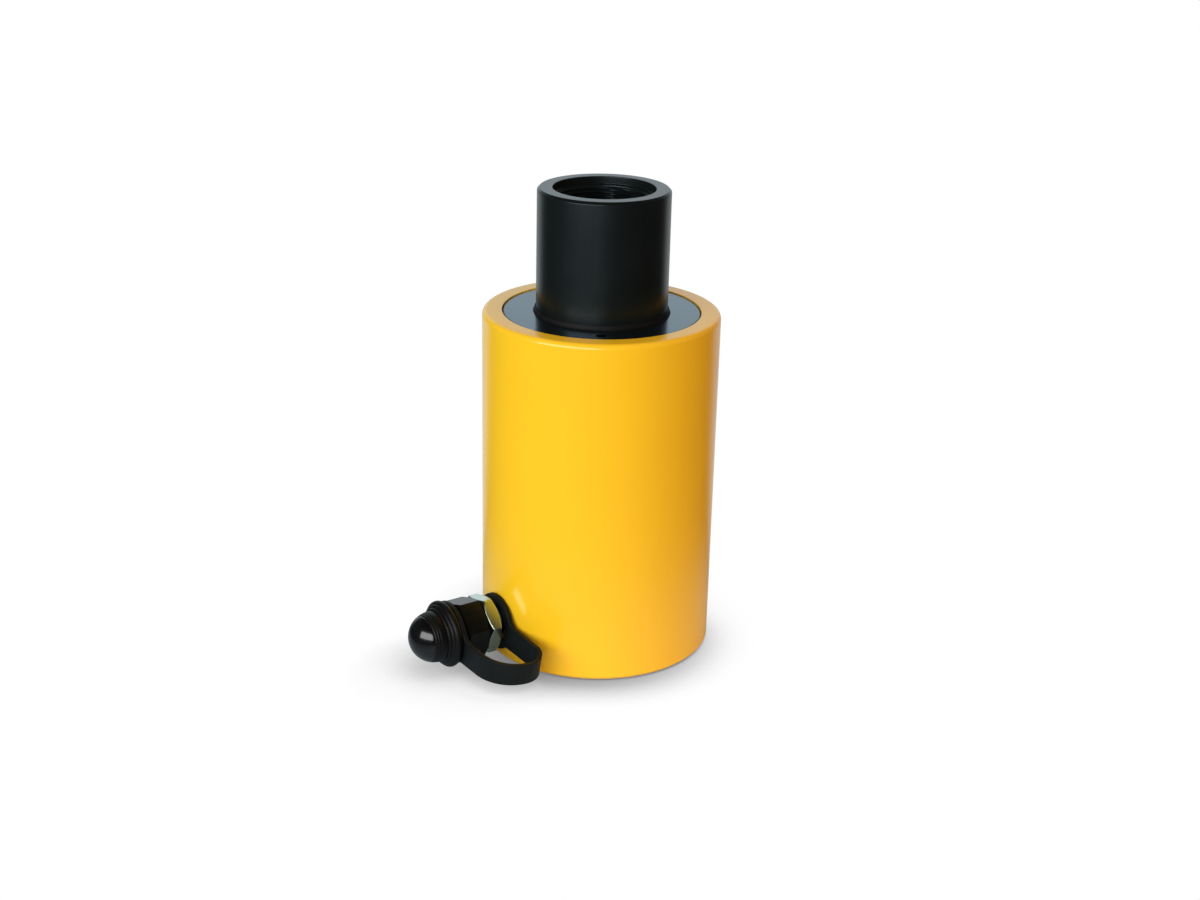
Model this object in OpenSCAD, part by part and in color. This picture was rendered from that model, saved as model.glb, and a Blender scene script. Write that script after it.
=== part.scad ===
// Hollow plunger cylinder: single acting, spring return, shown with its plunger raised.
// Millimetres. +Z runs up the bore, z = 0 is the underside of the base, the coupler points to -Y.

/* [Body] */
// Outside diameter of the cylinder body
body_d = 114; // [112:1:126]
// Height of the body from base to rim
body_h = 169; // [165:1:190]
// Diameter of the pressure bore
bore_d = 85; // [84:0.5:87]
// Thickness of the base under the pressure bore
base_t = 16; // [15:0.5:18]
// Radius of the rim's outer edge
rim_round = 2.5; // [1:0.5:4]
// Chamfer of the base's outer edge
base_chamfer = 1.5; // [0.5:0.5:3]
// Diameter of the base's two tapped holes
base_hole_d = 8.5; // [6:0.5:10]
// Depth of the base's tapped holes
base_hole_depth = 12; // [8:1:13]
// Distance between the base's tapped holes
base_hole_span = 92; // [84:1:96]

/* [Center tube] */
// Outside diameter of the tube that the plunger slides on
tube_d = 42; // [40:0.5:44]
// Wall of that tube
tube_wall = 4; // [3:0.5:6]
// Diameter of the tube's foot in the base
foot_d = 49; // [47:0.5:52]
// Height of the tube's foot
foot_h = 5; // [3:0.5:6]
// Thickness of the seal ring round the tube
tube_ring_t = 2.6; // [2:0.1:3]
// How far the tube ends below the plunger's thread when the plunger is down
tube_short = 2; // [1:0.5:6]

/* [Gland] */
// Diameter of the gland nut
gland_d = 95; // [93:0.5:99]
// Height of the gland nut
gland_h = 20.5; // [20:0.5:24]
// How far the gland nut sits below the rim
gland_drop = 0.5; // [0.3:0.1:1.5]
// Chamfer of the gland nut's edge
gland_chamfer = 0.8; // [0.4:0.1:1.5]
// Diameter of the two spanner holes
spanner_hole_d = 5; // [4:0.5:7]
// Depth of the spanner holes
spanner_depth = 6; // [3:0.5:8]
// Distance between the spanner holes
spanner_span = 82; // [80:1:84]
// Direction of the line through the spanner holes
spanner_turn = -35; // [-90:5:90]
// Wall of the guide bush
bush_wall = 2.5; // [2:0.1:3]
// Height of the guide bush
bush_h = 7; // [5:0.5:8]
// How deep the wiper sits below the gland nut's face
wiper_h = 6; // [5:0.5:6.5]
// Thickness of the gland nut's edge that holds the wiper down
wiper_cover = 1.6; // [1:0.1:2.4]
// Wall of the wiper's seat
wiper_wall = 4; // [3:0.5:5]
// How far the wiper's lip stands above the gland nut
wiper_lip = 2; // [1:0.1:3]
// How far the wiper's lip stands out from the plunger
wiper_neck = 1.1; // [0.8:0.1:1.6]
// Wall of the stop sleeve
sleeve_wall = 2.5; // [2:0.1:3]
// How deep the stop sleeve sits in the gland nut
sleeve_seat = 4; // [3:0.5:5]

/* [Plunger] */
// Outside diameter of the plunger
plunger_d = 63; // [61:0.5:65]
// Full stroke
stroke = 64; // [58:1:68]
// How far the plunger is raised here
lift = 56; // [0:1:58]
// How far the plunger stands above the rim when it is down
proud = 3; // [2.5:0.5:8]
// Chamfer of the plunger's top edge
top_chamfer = 1.2; // [0.5:0.1:2]
// Diameter of the plunger's thread
thread_d = 46; // [45:0.5:48]
// Depth of the thread below the plunger's top
thread_depth = 25; // [20:1:35]
// Diameter of the smooth entry above the thread
entry_d = 48.6; // [48.4:0.1:52]
// Depth of the smooth entry
entry_depth = 4; // [2:0.5:6]

/* [Piston] */
// Height of the piston
piston_h = 26; // [25:0.5:28]
// Height of the step that lets oil under the piston
step_h = 5; // [3:0.5:6]
// Width of that step
step_w = 4.2; // [3:0.1:5]
// Radial depth of the outer seal
seal_w = 6.5; // [5:0.5:8]
// Radial depth of the inner seal
inner_seal_w = 4.7; // [4:0.1:5.5]
// Height of a seal
seal_h = 6.2; // [5.5:0.1:6.6]
// Height of a back-up ring
backup_h = 2; // [1.5:0.1:2.4]
// Radial depth of a wear ring
wear_w = 2.6; // [2:0.1:3]
// Height of a wear ring
wear_h = 5.8; // [5:0.1:6.2]
// Height of the steel between two grooves
land_h = 2.5; // [2:0.1:3]

/* [Return spring] */
// Wire diameter of the return spring
wire_d = 6.5; // [5.5:0.1:6.8]
// Turns of the return spring
spring_turns = 5.75; // [4.75:0.25:6]

/* [Port adapter] */
// Height of the oil port above the base
port_z = 20; // [19:0.5:24]
// Diameter of the adapter's thread
stem_d = 16.6; // [15:0.1:17.5]
// Length of the thread inside the body's wall
stem_in = 10.5; // [8:0.5:11]
// Diameter of the oil passage
oil_d = 6; // [5:0.5:7]
// Bare length between body and hexagon
neck_l = 6.2; // [5:0.1:9]
// Width across flats of the adapter's hexagon
adapter_af = 26; // [24:0.5:28]
// Length of the adapter's hexagon
adapter_l = 6.8; // [6:0.1:9]
// Turn of the adapter's hexagon
adapter_turn = 11; // [0:1:59]
// Diameter of the adapter's outer thread
spigot_d = 16; // [15.4:0.1:17]
// Length of the adapter's outer thread
spigot_l = 8; // [6:0.5:9]

/* [Coupler] */
// Width across flats of the coupler's hexagon
coupler_af = 27; // [25:0.5:29]
// Length of the coupler's hexagon
coupler_l = 12.3; // [12:0.1:15]
// Turn of the coupler's hexagon
coupler_turn = 15; // [0:1:59]
// Diameter of the coupler's threaded nose
nose_d = 20; // [19:0.1:20.5]
// Length of the nose
nose_l = 14.4; // [13.5:0.1:18]
// Chamfer of the nose's end
nose_chamfer = 1; // [0.5:0.1:1.5]
// Diameter of the relief groove between hexagon and nose
relief_d = 18.6; // [17:0.1:19]
// Length of the relief groove
relief_l = 1.6; // [1:0.1:2]
// Diameter of the mouth that takes the hose probe
mouth_d = 12.6; // [11:0.1:13.2]
// Depth of the mouth
mouth_depth = 4.4; // [4:0.1:5]
// Thickness of the seal ring in the mouth
mouth_ring_t = 1.7; // [1.4:0.1:1.9]

/* [Valve] */
// Diameter of the valve chamber
chamber_d = 13.2; // [12.4:0.1:13.6]
// Diameter of the valve seat's throat
throat_d = 9.2; // [8:0.1:9.6]
// Length of the throat
throat_l = 1.2; // [0.8:0.1:1.6]
// Thickness of the valve guide
guide_t = 2; // [1.5:0.1:2.5]
// Number of oil holes in the valve guide
guide_holes = 6; // [4:1:8]
// Diameter of an oil hole in the valve guide
guide_hole_d = 1.8; // [1.2:0.1:1.8]
// Height of the poppet's head
head_h = 2.5; // [2:0.1:3]
// Diameter of the poppet's stem
poppet_stem_d = 3.6; // [3:0.1:4]
// Diameter of the poppet's tip
tip_d = 6; // [4:0.1:7]
// Length of the poppet's tip
tip_l = 3; // [2:0.1:4]
// Wire diameter of the valve spring
valve_wire_d = 0.8; // [0.6:0.05:0.9]
// Mean diameter of the valve spring
valve_spring_d = 8.8; // [8:0.1:9.4]
// Turns of the valve spring
valve_turns = 3.5; // [3:0.25:4]

/* [Dust cap] */
// Diameter of the cap's dome and neck
cap_d = 24.8; // [24:0.1:26]
// Distance from the cap's open end to the middle of the dome
dome_reach = 10.8; // [10.6:0.1:14]
// Wall of the dome at its tip
dome_wall = 2.2; // [1.5:0.1:3]
// Diameter of the cap's flange
flange_d = 32.6; // [31:0.1:36]
// Radius of the flange's round edge
flange_round = 2; // [1.6:0.1:2.2]
// Distance from the cap's open end to the flange's middle
flange_reach = 5.4; // [5.3:0.1:6]
// How much smaller each ring beside the flange is in radius
ring_step = 1.4; // [1:0.1:1.6]
// Distance from ring to ring along the cap
ring_pitch = 1.7; // [1.4:0.1:1.8]
// Height of the lip behind the strap
lip_h = 0.7; // [0.5:0.1:0.8]
// How far that lip stands above the neck
lip_rise = 1; // [0.6:0.1:1.4]
// Depth of the fine grooves round the dome
groove_depth = 0.35; // [0.2:0.05:0.5]

/* [Strap] */
// Thickness of the strap
strap_t = 2.2; // [1.8:0.1:2.2]
// Width of the strap
strap_w = 12.5; // [10:0.5:14]
// Height of the strap's lower edge above the base
strap_z = 9; // [7:0.5:10]
// How far the strap's bend reaches out from the coupler
strap_reach = 45.5; // [42:0.5:56]
// Bend radius of the strap at the cap's side
bend_out = 18; // [14:0.5:19]
// How far the strap's lower edge leans in at its bend
strap_lean = 3.5; // [0:0.5:8]
// How far the strap has sunk where its bend begins
strap_sink = 0.6; // [0:0.1:2]
// How far the strap sags at the end of its loop
strap_sag = 2.7; // [0:0.1:3]
// Outside diameter of the eyelet round the adapter
eyelet_d = 28; // [26:0.5:30]
// Loose fit of that eyelet on the adapter
eyelet_slack = 1.1; // [0.6:0.1:1.6]
// Width of the strap's ring round the cap
cap_ring_w = 2.7; // [2:0.1:3.5]
// Radius of the corner between eyelet and strap
strap_fillet = 6; // [3:0.5:8]
// Diameter of the small moulding hole in the strap
pip_d = 1.8; // [1:0.1:3]
// Distance of that hole from the adapter's axis
pip_x = 17.5; // [16:0.5:26]
// Height of that hole above the strap's lower edge
pip_h = 5; // [4:0.5:9]

/* [Clearances] */
// Radial gap of a ring in its groove and of seated pieces
fit_gap = 0.05; // [0.03:0.01:0.08]
// Radial gap of a running fit
guide_gap = 0.05; // [0.03:0.01:0.08]
// Radial gap of screwed pieces
thread_gap = 0.1; // [0.06:0.01:0.15]
// Gap between pieces that pass without touching
run_gap = 0.3; // [0.25:0.05:0.4]

/* [Hidden] */
$fn = 96;

// Overlap of a cut past the face that it opens
cut = 1;

// Diameter of the clear hole through the cylinder
hole_d = tube_d - 2 * tube_wall;

// Heights along the bore
gland_top = body_h - gland_drop;
gland_z = gland_top - gland_h;
piston_low = base_t + run_gap;
piston_z = piston_low + lift;
piston_top = piston_z + piston_h;
plunger_top = body_h + proud + lift;
stop_z = piston_low + piston_h + stroke;
bush_z = gland_z + sleeve_seat + land_h / 2;
wiper_z = gland_top - wiper_h;
tube_top = body_h + proud - thread_depth - tube_short;
tube_ring_z = (foot_h + base_t) / 2;

// Heights on the piston, measured from its underside
seal_room_h = seal_h + backup_h + 3 * fit_gap;
seal_low = step_h + land_h - fit_gap;
wear_low = seal_low + seal_room_h + land_h;
inner_seal_low = step_h;

// Places along the coupler, measured from the bore's axis
body_r = body_d / 2;
hex_in = body_r + neck_l;
hex_out = hex_in + adapter_l;
spigot_end = hex_out + spigot_l;
coupler_in = hex_out + run_gap;
guide_in = spigot_end + thread_gap;
shoulder = guide_in + guide_t + thread_gap;
coupler_out = coupler_in + coupler_l;
nose_end = coupler_out + nose_l;
mouth_in = nose_end - mouth_depth;
throat_in = mouth_in - throat_l;
seat_l = (chamber_d - throat_d) / 2;
seat_in = throat_in - seat_l;
head_front = seat_in - run_gap;
head_back = head_front - head_h;
cap_in = coupler_out + run_gap;
dome_s = cap_in + dome_reach;
flange_s = cap_in + flange_reach;

// The strap lies flat against the body at one end and behind the cap's flange at the other
strap_in = body_r + 2 * run_gap + strap_t / 2;
strap_out = cap_in + lip_h + run_gap + strap_t / 2;
bend_in = strap_out - strap_in - bend_out;
strap_low = strap_z - port_z;
strap_high = strap_low + strap_w;

// A ring of rectangular section
module ring(inner_d, outer_d, z, h) {
    translate([0, 0, z])
        rotate_extrude()
            translate([inner_d / 2, 0])
                square([(outer_d - inner_d) / 2, h]);
}

// A round seal ring lying at height z
module round_ring(mid_d, thick, z) {
    translate([0, 0, z])
        rotate_extrude()
            translate([mid_d / 2, 0])
                circle(d = thick);
}

// A seal with two lips that open downwards, towards the oil
module lip_seal(inner_d, outer_d, z, h) {
    w = (outer_d - inner_d) / 2;
    translate([0, 0, z])
        rotate_extrude()
            translate([inner_d / 2, 0])
                polygon([[0, 0], [w / 4, 0], [w / 2, h / 2], [3 * w / 4, 0], [w, 0], [w, h], [0, h]]);
}

// Turns a piece that is drawn along +Z to lie along the coupler
module along_port() {
    translate([0, 0, port_z])
        rotate([90, 0, 0])
            children();
}

// A hexagon bar with both ends chamfered as a nut is
module hexagon(af, from, length, turn) {
    corner_d = af / cos(30);
    bevel_r = af * 0.48;
    outer_r = corner_d / 2 + cut;
    bevel_l = (outer_r - bevel_r) * tan(30);
    translate([0, 0, from])
        intersection() {
            rotate([0, 0, turn])
                cylinder(h = length, d = corner_d, $fn = 6);
            rotate_extrude()
                polygon([
                    [0, 0], [bevel_r, 0], [outer_r, bevel_l], [outer_r, length - bevel_l],
                    [bevel_r, length], [0, length]
                ]);
        }
}

// A round bar standing on the origin with its upper edge chamfered
module chamfered_rod(d, length, chamfer) {
    rotate_extrude()
        polygon([
            [0, 0], [d / 2, 0], [d / 2, length - chamfer], [d / 2 - chamfer, length], [0, length]
        ]);
}

// A closed solid through rings of points that all have the same number of sides
module swept(points, sides) {
    last = len(points) / sides - 1;
    walls = [
        for (i = [0 : last - 1], k = [0 : sides - 1])
            let (
                next = (k + 1) % sides,
                low = i * sides,
                high = low + sides
            )
            each [[low + k, high + next, high + k], [low + k, low + next, high + next]]
    ];
    start = [for (k = [sides - 1 : -1 : 0]) k];
    end = [for (k = [0 : sides - 1]) last * sides + k];
    polyhedron(points, concat(walls, [start, end]));
}

// A coil of round wire standing on z
module coil(mid_d, wire, z, height, turns, per_turn, sides) {
    rings = ceil(turns * per_turn);
    rise = height - wire;
    swept([
        for (i = [0 : rings], k = [0 : sides - 1])
            let (
                turn = 360 * turns * i / rings,
                around = 360 * k / sides,
                r = mid_d / 2 + wire / 2 * cos(around)
            )
            [r * cos(turn), r * sin(turn), z + wire / 2 + rise * i / rings + wire / 2 * sin(around)]
    ], sides);
}

// Half outline of the body with its rounded rim and chamfered base
module body_outline() {
    polygon([
        [0, 0], [body_r - base_chamfer, 0], [body_r, base_chamfer],
        [body_r, body_h - rim_round], [body_r - rim_round, body_h], [0, body_h]
    ]);
    translate([body_r - rim_round, body_h - rim_round])
        intersection() {
            circle(r = rim_round);
            square(rim_round);
        }
}

// Painted steel body, one piece with its base
module cylinder_body() {
    foot_hole_d = foot_d + 2 * thread_gap;
    tube_hole_d = tube_d + 2 * thread_gap;
    color([0.99, 0.76, 0.11])
        difference() {
            rotate_extrude()
                body_outline();
            translate([0, 0, base_t])
                cylinder(h = body_h, d = bore_d);
            translate([0, 0, gland_z])
                cylinder(h = body_h, d = gland_d + 2 * thread_gap);
            translate([0, 0, -cut])
                cylinder(h = base_t + 2 * cut, d = tube_hole_d);
            translate([0, 0, -cut])
                cylinder(h = foot_h + cut, d = foot_hole_d);
            ring(tube_d, tube_d + 2 * (tube_ring_t + 2 * fit_gap), tube_ring_z - tube_ring_t / 2 - fit_gap,
                tube_ring_t + 2 * fit_gap);
            for (side = [-1, 1])
                translate([side * base_hole_span / 2, 0, -cut])
                    cylinder(h = base_hole_depth + cut, d = base_hole_d);
            along_port() {
                translate([0, 0, body_r - stem_in - run_gap])
                    cylinder(h = stem_in + run_gap + cut, d = stem_d + 2 * thread_gap);
                translate([0, 0, bore_d / 2 - cut])
                    cylinder(h = body_r - bore_d / 2, d = oil_d);
            }
        }
}

// Hollow tube that the plunger slides on, screwed into the base from below
module center_tube() {
    color([0.62, 0.63, 0.65])
        difference() {
            union() {
                cylinder(h = tube_top, d = tube_d);
                cylinder(h = foot_h, d = foot_d);
            }
            translate([0, 0, -cut])
                cylinder(h = tube_top + 2 * cut, d = hole_d);
        }
}

// Static seal between the tube and the base
module tube_o_ring() {
    color([0.08, 0.08, 0.09])
        round_ring(tube_d + tube_ring_t + 2 * fit_gap, tube_ring_t, tube_ring_z);
}

// Black ring screwed into the top of the body
module gland_nut() {
    sleeve_d = plunger_d + 2 * (run_gap + sleeve_wall + fit_gap);
    color([0.10, 0.11, 0.13])
        difference() {
            translate([0, 0, gland_z])
                chamfered_rod(gland_d, gland_h, gland_chamfer);
            translate([0, 0, gland_z - cut])
                cylinder(h = gland_h + 2 * cut, d = plunger_d + 2 * run_gap);
            translate([0, 0, gland_z - cut])
                cylinder(h = sleeve_seat + fit_gap + cut, d = sleeve_d);
            ring(plunger_d, plunger_d + 2 * (guide_gap + bush_wall + fit_gap), bush_z - fit_gap,
                bush_h + 2 * fit_gap);
            ring(plunger_d, plunger_d + 2 * (guide_gap + wiper_wall + fit_gap), wiper_z - fit_gap,
                wiper_h - wiper_cover + fit_gap);
            translate([0, 0, wiper_z])
                cylinder(h = wiper_h + cut, d = plunger_d + 2 * (guide_gap + wiper_neck + fit_gap));
            for (side = [0, 180])
                rotate([0, 0, spanner_turn + side])
                    translate([spanner_span / 2, 0, gland_top - spanner_depth])
                        cylinder(h = spanner_depth + cut, d = spanner_hole_d);
        }
}

// Sleeve under the gland that the piston meets at the end of its stroke
module stop_sleeve() {
    sleeve_bore = plunger_d + 2 * run_gap;
    color([0.55, 0.56, 0.58])
        ring(sleeve_bore, sleeve_bore + 2 * sleeve_wall, stop_z, gland_z + sleeve_seat - stop_z);
}

// Bronze bush that guides the plunger in the gland
module guide_bush() {
    bush_bore = plunger_d + 2 * guide_gap;
    color([0.72, 0.52, 0.25])
        ring(bush_bore, bush_bore + 2 * bush_wall, bush_z, bush_h);
}

// Rubber wiper whose lip follows the plunger
module plunger_wiper() {
    seat_h = wiper_h - wiper_cover - fit_gap;
    color([0.05, 0.05, 0.06])
        translate([0, 0, wiper_z])
            rotate_extrude()
                translate([plunger_d / 2 + guide_gap, 0])
                    polygon([
                        [wiper_neck / 2, 0], [wiper_wall, 0], [wiper_wall, seat_h], [wiper_neck, seat_h],
                        [wiper_neck, wiper_h], [wiper_neck / 2, wiper_h + wiper_lip],
                        [0, wiper_h + wiper_lip], [0, wiper_h + wiper_lip / 2], [wiper_neck / 2, wiper_h / 2]
                    ]);
}

// Coil spring that draws the plunger back down
module return_spring() {
    inner_d = plunger_d + 2 * (run_gap + sleeve_wall);
    color([0.30, 0.31, 0.33])
        coil((inner_d + bore_d) / 2, wire_d, piston_top + 2 * fit_gap, gland_z - piston_top - 4 * fit_gap,
            spring_turns, 24, 10);
}

// Hollow plunger turned from one bar with its piston
module plunger() {
    piston_r = bore_d / 2 - run_gap;
    rod_r = plunger_d / 2;
    slide_d = tube_d + 2 * run_gap;
    length = plunger_top - piston_z;
    color([0.07, 0.08, 0.09])
        translate([0, 0, piston_z])
            difference() {
                rotate_extrude()
                    polygon([
                        [0, 0], [piston_r - step_w, 0], [piston_r - step_w, step_h], [piston_r, step_h],
                        [piston_r, piston_h], [rod_r, piston_h], [rod_r, length - top_chamfer],
                        [rod_r - top_chamfer, length], [0, length]
                    ]);
                translate([0, 0, -cut])
                    cylinder(h = length + 2 * cut, d = slide_d);
                translate([0, 0, length - thread_depth])
                    cylinder(h = thread_depth + cut, d = thread_d);
                translate([0, 0, length - entry_depth])
                    cylinder(h = entry_depth + cut, d = entry_d);
                ring(bore_d - 2 * (guide_gap + seal_w + fit_gap), bore_d, seal_low, seal_room_h);
                ring(bore_d - 2 * (guide_gap + wear_w + fit_gap), bore_d, wear_low, wear_h + 2 * fit_gap);
                ring(tube_d, tube_d + 2 * (guide_gap + inner_seal_w + fit_gap), inner_seal_low, seal_room_h);
                ring(tube_d, tube_d + 2 * (guide_gap + wear_w + fit_gap), wear_low, wear_h + 2 * fit_gap);
            }
}

// Outer seal of the piston
module piston_seal() {
    outer_d = bore_d - 2 * guide_gap;
    color([0.16, 0.20, 0.30])
        lip_seal(outer_d - 2 * seal_w, outer_d, piston_z + seal_low + fit_gap, seal_h);
}

// Hard ring that backs the outer seal
module piston_backup_ring() {
    outer_d = bore_d - 2 * guide_gap;
    color([0.85, 0.83, 0.76])
        ring(outer_d - 2 * seal_w, outer_d, piston_z + seal_low + 2 * fit_gap + seal_h, backup_h);
}

// Guide strip of the piston in the bore
module piston_wear_ring() {
    outer_d = bore_d - 2 * guide_gap;
    color([0.55, 0.42, 0.24])
        ring(outer_d - 2 * wear_w, outer_d, piston_z + wear_low + fit_gap, wear_h);
}

// Inner seal of the piston, running on the tube
module tube_seal() {
    inner_d = tube_d + 2 * guide_gap;
    color([0.16, 0.20, 0.30])
        lip_seal(inner_d, inner_d + 2 * inner_seal_w, piston_z + inner_seal_low + fit_gap, seal_h);
}

// Hard ring that backs the inner seal
module tube_backup_ring() {
    inner_d = tube_d + 2 * guide_gap;
    color([0.85, 0.83, 0.76])
        ring(inner_d, inner_d + 2 * inner_seal_w, piston_z + inner_seal_low + 2 * fit_gap + seal_h, backup_h);
}

// Guide strip of the piston on the tube
module tube_wear_ring() {
    inner_d = tube_d + 2 * guide_gap;
    color([0.55, 0.42, 0.24])
        ring(inner_d, inner_d + 2 * wear_w, piston_z + wear_low + fit_gap, wear_h);
}

// Zinc-plated nipple screwed into the body's port
module port_adapter() {
    stem_end = body_r - stem_in;
    color([0.70, 0.70, 0.62])
        along_port()
            difference() {
                union() {
                    translate([0, 0, stem_end])
                        cylinder(h = hex_in + cut - stem_end, d = stem_d);
                    hexagon(adapter_af, hex_in, adapter_l, adapter_turn);
                    translate([0, 0, hex_out - cut])
                        cylinder(h = spigot_l + cut, d = spigot_d);
                }
                translate([0, 0, stem_end - cut])
                    cylinder(h = spigot_end - stem_end + 2 * cut, d = oil_d);
            }
}

// Black coupler half with its threaded nose
module coupler_body() {
    seal_d = mouth_d + mouth_ring_t;
    color([0.09, 0.09, 0.10])
        along_port()
            difference() {
                union() {
                    hexagon(coupler_af, coupler_in, coupler_l, coupler_turn);
                    translate([0, 0, coupler_out - cut])
                        cylinder(h = relief_l + 2 * cut, d = relief_d);
                    translate([0, 0, coupler_out + relief_l])
                        chamfered_rod(nose_d, nose_l - relief_l, nose_chamfer);
                }
                translate([0, 0, coupler_in - cut])
                    cylinder(h = shoulder - coupler_in + cut, d = spigot_d + 2 * thread_gap);
                translate([0, 0, shoulder - cut])
                    cylinder(h = seat_in - shoulder + cut, d = chamber_d);
                translate([0, 0, seat_in])
                    cylinder(h = seat_l, d1 = chamber_d, d2 = throat_d);
                translate([0, 0, seat_in])
                    cylinder(h = seat_l + throat_l + cut, d = throat_d);
                translate([0, 0, mouth_in])
                    cylinder(h = mouth_depth + cut, d = mouth_d);
                ring(throat_d, seal_d + 2 * fit_gap, (mouth_in + nose_end - mouth_ring_t) / 2 - fit_gap,
                    mouth_ring_t + 2 * fit_gap);
            }
}

// Seal ring in the coupler's mouth
module coupler_seal() {
    color([0.05, 0.05, 0.06])
        along_port()
            round_ring(mouth_d, mouth_ring_t, (mouth_in + nose_end) / 2);
}

// Drilled disc that carries the valve's spring and stem
module valve_guide() {
    guide_d = spigot_d;
    holes_d = (valve_spring_d + valve_wire_d + chamber_d) / 2;
    color([0.65, 0.66, 0.68])
        along_port()
            translate([0, 0, guide_in])
                difference() {
                    cylinder(h = guide_t, d = guide_d);
                    translate([0, 0, -cut])
                        cylinder(h = guide_t + 2 * cut, d = poppet_stem_d + 2 * guide_gap);
                    for (i = [0 : guide_holes - 1])
                        rotate([0, 0, 360 * i / guide_holes])
                            translate([holes_d / 2, 0, -cut])
                                cylinder(h = guide_t + 2 * cut, d = guide_hole_d);
                }
}

// Poppet that closes the coupler until a hose is screwed on
module valve_poppet() {
    head_d = chamber_d - 2 * run_gap;
    cone_d = throat_d - 2 * run_gap;
    color([0.68, 0.69, 0.71])
        along_port()
            rotate_extrude()
                polygon([
                    [0, guide_in], [poppet_stem_d / 2, guide_in], [poppet_stem_d / 2, head_back],
                    [head_d / 2, head_back], [head_d / 2, head_front], [cone_d / 2, head_front + seat_l],
                    [tip_d / 2, head_front + seat_l], [tip_d / 2, head_front + seat_l + tip_l],
                    [0, head_front + seat_l + tip_l]
                ]);
}

// Small spring that closes the poppet
module valve_spring() {
    spring_in = guide_in + guide_t + fit_gap;
    spring_l = head_back - fit_gap - spring_in;
    color([0.60, 0.61, 0.63])
        along_port()
            coil(valve_spring_d, valve_wire_d, spring_in, spring_l, valve_turns, 20, 8);
}

// Half section of a disc with a round edge, on the axis of the cap
module round_edge(outer_r, middle, edge_r) {
    translate([0, middle - edge_r])
        square([outer_r - edge_r, 2 * edge_r]);
    translate([outer_r - edge_r, middle])
        circle(r = edge_r);
}

// Glossy cap with a ringed flange, over the coupler's nose
module dust_cap() {
    cap_r = cap_d / 2;
    inside_r = nose_d / 2 + run_gap;
    color([0.04, 0.04, 0.05])
        along_port()
            rotate_extrude()
                difference() {
                    intersection() {
                        union() {
                            translate([0, cap_in])
                                square([cap_r, dome_reach]);
                            translate([0, cap_in])
                                square([cap_r + lip_rise, lip_h]);
                            translate([0, dome_s])
                                circle(r = cap_r);
                            for (i = [0 : 2])
                                round_edge(flange_d / 2 - i * ring_step, flange_s + i * ring_pitch,
                                    flange_round * (4 - i) / 4);
                        }
                        translate([0, cap_in])
                            square([flange_d, dome_reach + cap_d]);
                    }
                    translate([0, cap_in - cut])
                        square([inside_r, nose_end + run_gap - cap_in + cut]);
                    intersection() {
                        translate([0, dome_s])
                            circle(r = cap_r - dome_wall);
                        translate([0, dome_s])
                            square(cap_r);
                    }
                    for (tilt = [12, 18, 24])
                        translate([0, dome_s])
                            rotate(tilt)
                                translate([cap_r + groove_depth, 0])
                                    circle(r = 2 * groove_depth);
                }
}

// Flat end of the strap: an eyelet with the strap leaving it sideways
module strap_end(outer_d, inner_d, sag, tail, sink) {
    outer_r = outer_d / 2;
    fillet_y = strap_high + strap_fillet;
    fillet_x = sqrt(pow(outer_r + strap_fillet, 2) - pow(fillet_y + sag, 2));
    difference() {
        union() {
            translate([0, -sag])
                circle(r = outer_r);
            polygon([
                [0, strap_low], [fillet_x, strap_low], [tail, strap_low - sink],
                [tail, strap_high - sink], [fillet_x, strap_high], [0, strap_high]
            ]);
            difference() {
                polygon([[0, -sag], [fillet_x, strap_low], [fillet_x, fillet_y]]);
                translate([fillet_x, fillet_y])
                    circle(r = strap_fillet);
            }
        }
        translate([0, -sag])
            circle(d = inner_d);
    }
}

// Loop of the strap between its flat ends, sagging and leaning in as it turns
module strap_loop() {
    heading_step = 7.5;
    swept([
        for (heading = [0 : heading_step : 180], corner = [[1, 0], [1, 1], [-1, 1], [-1, 0]])
            let (
                radius = heading > 90 ? bend_out : bend_in,
                middle = heading > 90 ? strap_out - bend_out : strap_in + bend_in,
                start_sink = heading > 90 ? 0 : strap_sink,
                lean = strap_lean * sin(heading),
                drop = sqrt(strap_w * strap_w - lean * lean),
                r = radius + corner[0] * strap_t / 2 - corner[1] * lean,
                sunk = start_sink + (strap_sag - start_sink) * sin(heading),
                z = strap_z + strap_w - sunk - corner[1] * drop
            )
            [strap_reach - radius + r * sin(heading), r * cos(heading) - middle, z]
    ], 4);
}

// Moulded strap that keeps the cap, looped between its two eyelets
module cap_strap() {
    eyelet_hole_d = stem_d + 2 * eyelet_slack;
    eyelet_sag = eyelet_slack - run_gap;
    cap_hole_d = cap_d + 2 * run_gap;
    color([0.06, 0.06, 0.07])
        difference() {
            union() {
                along_port() {
                    translate([0, 0, strap_in - strap_t / 2])
                        linear_extrude(strap_t)
                            strap_end(eyelet_d, eyelet_hole_d, eyelet_sag, strap_reach - bend_in, strap_sink);
                    translate([0, 0, strap_out - strap_t / 2])
                        linear_extrude(strap_t)
                            strap_end(cap_hole_d + 2 * cap_ring_w, cap_hole_d, 0, strap_reach - bend_out, 0);
                }
                strap_loop();
            }
            along_port()
                translate([pip_x, strap_low + pip_h, strap_in - strap_t])
                    cylinder(h = 2 * strap_t, d = pip_d);
        }
}

cylinder_body();
center_tube();
tube_o_ring();
gland_nut();
stop_sleeve();
guide_bush();
plunger_wiper();
return_spring();
plunger();
piston_seal();
piston_backup_ring();
piston_wear_ring();
tube_seal();
tube_backup_ring();
tube_wear_ring();
port_adapter();
coupler_body();
coupler_seal();
valve_guide();
valve_poppet();
valve_spring();
dust_cap();
cap_strap();
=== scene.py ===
import math

import bmesh
import bpy
from mathutils import Matrix, Vector


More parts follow.
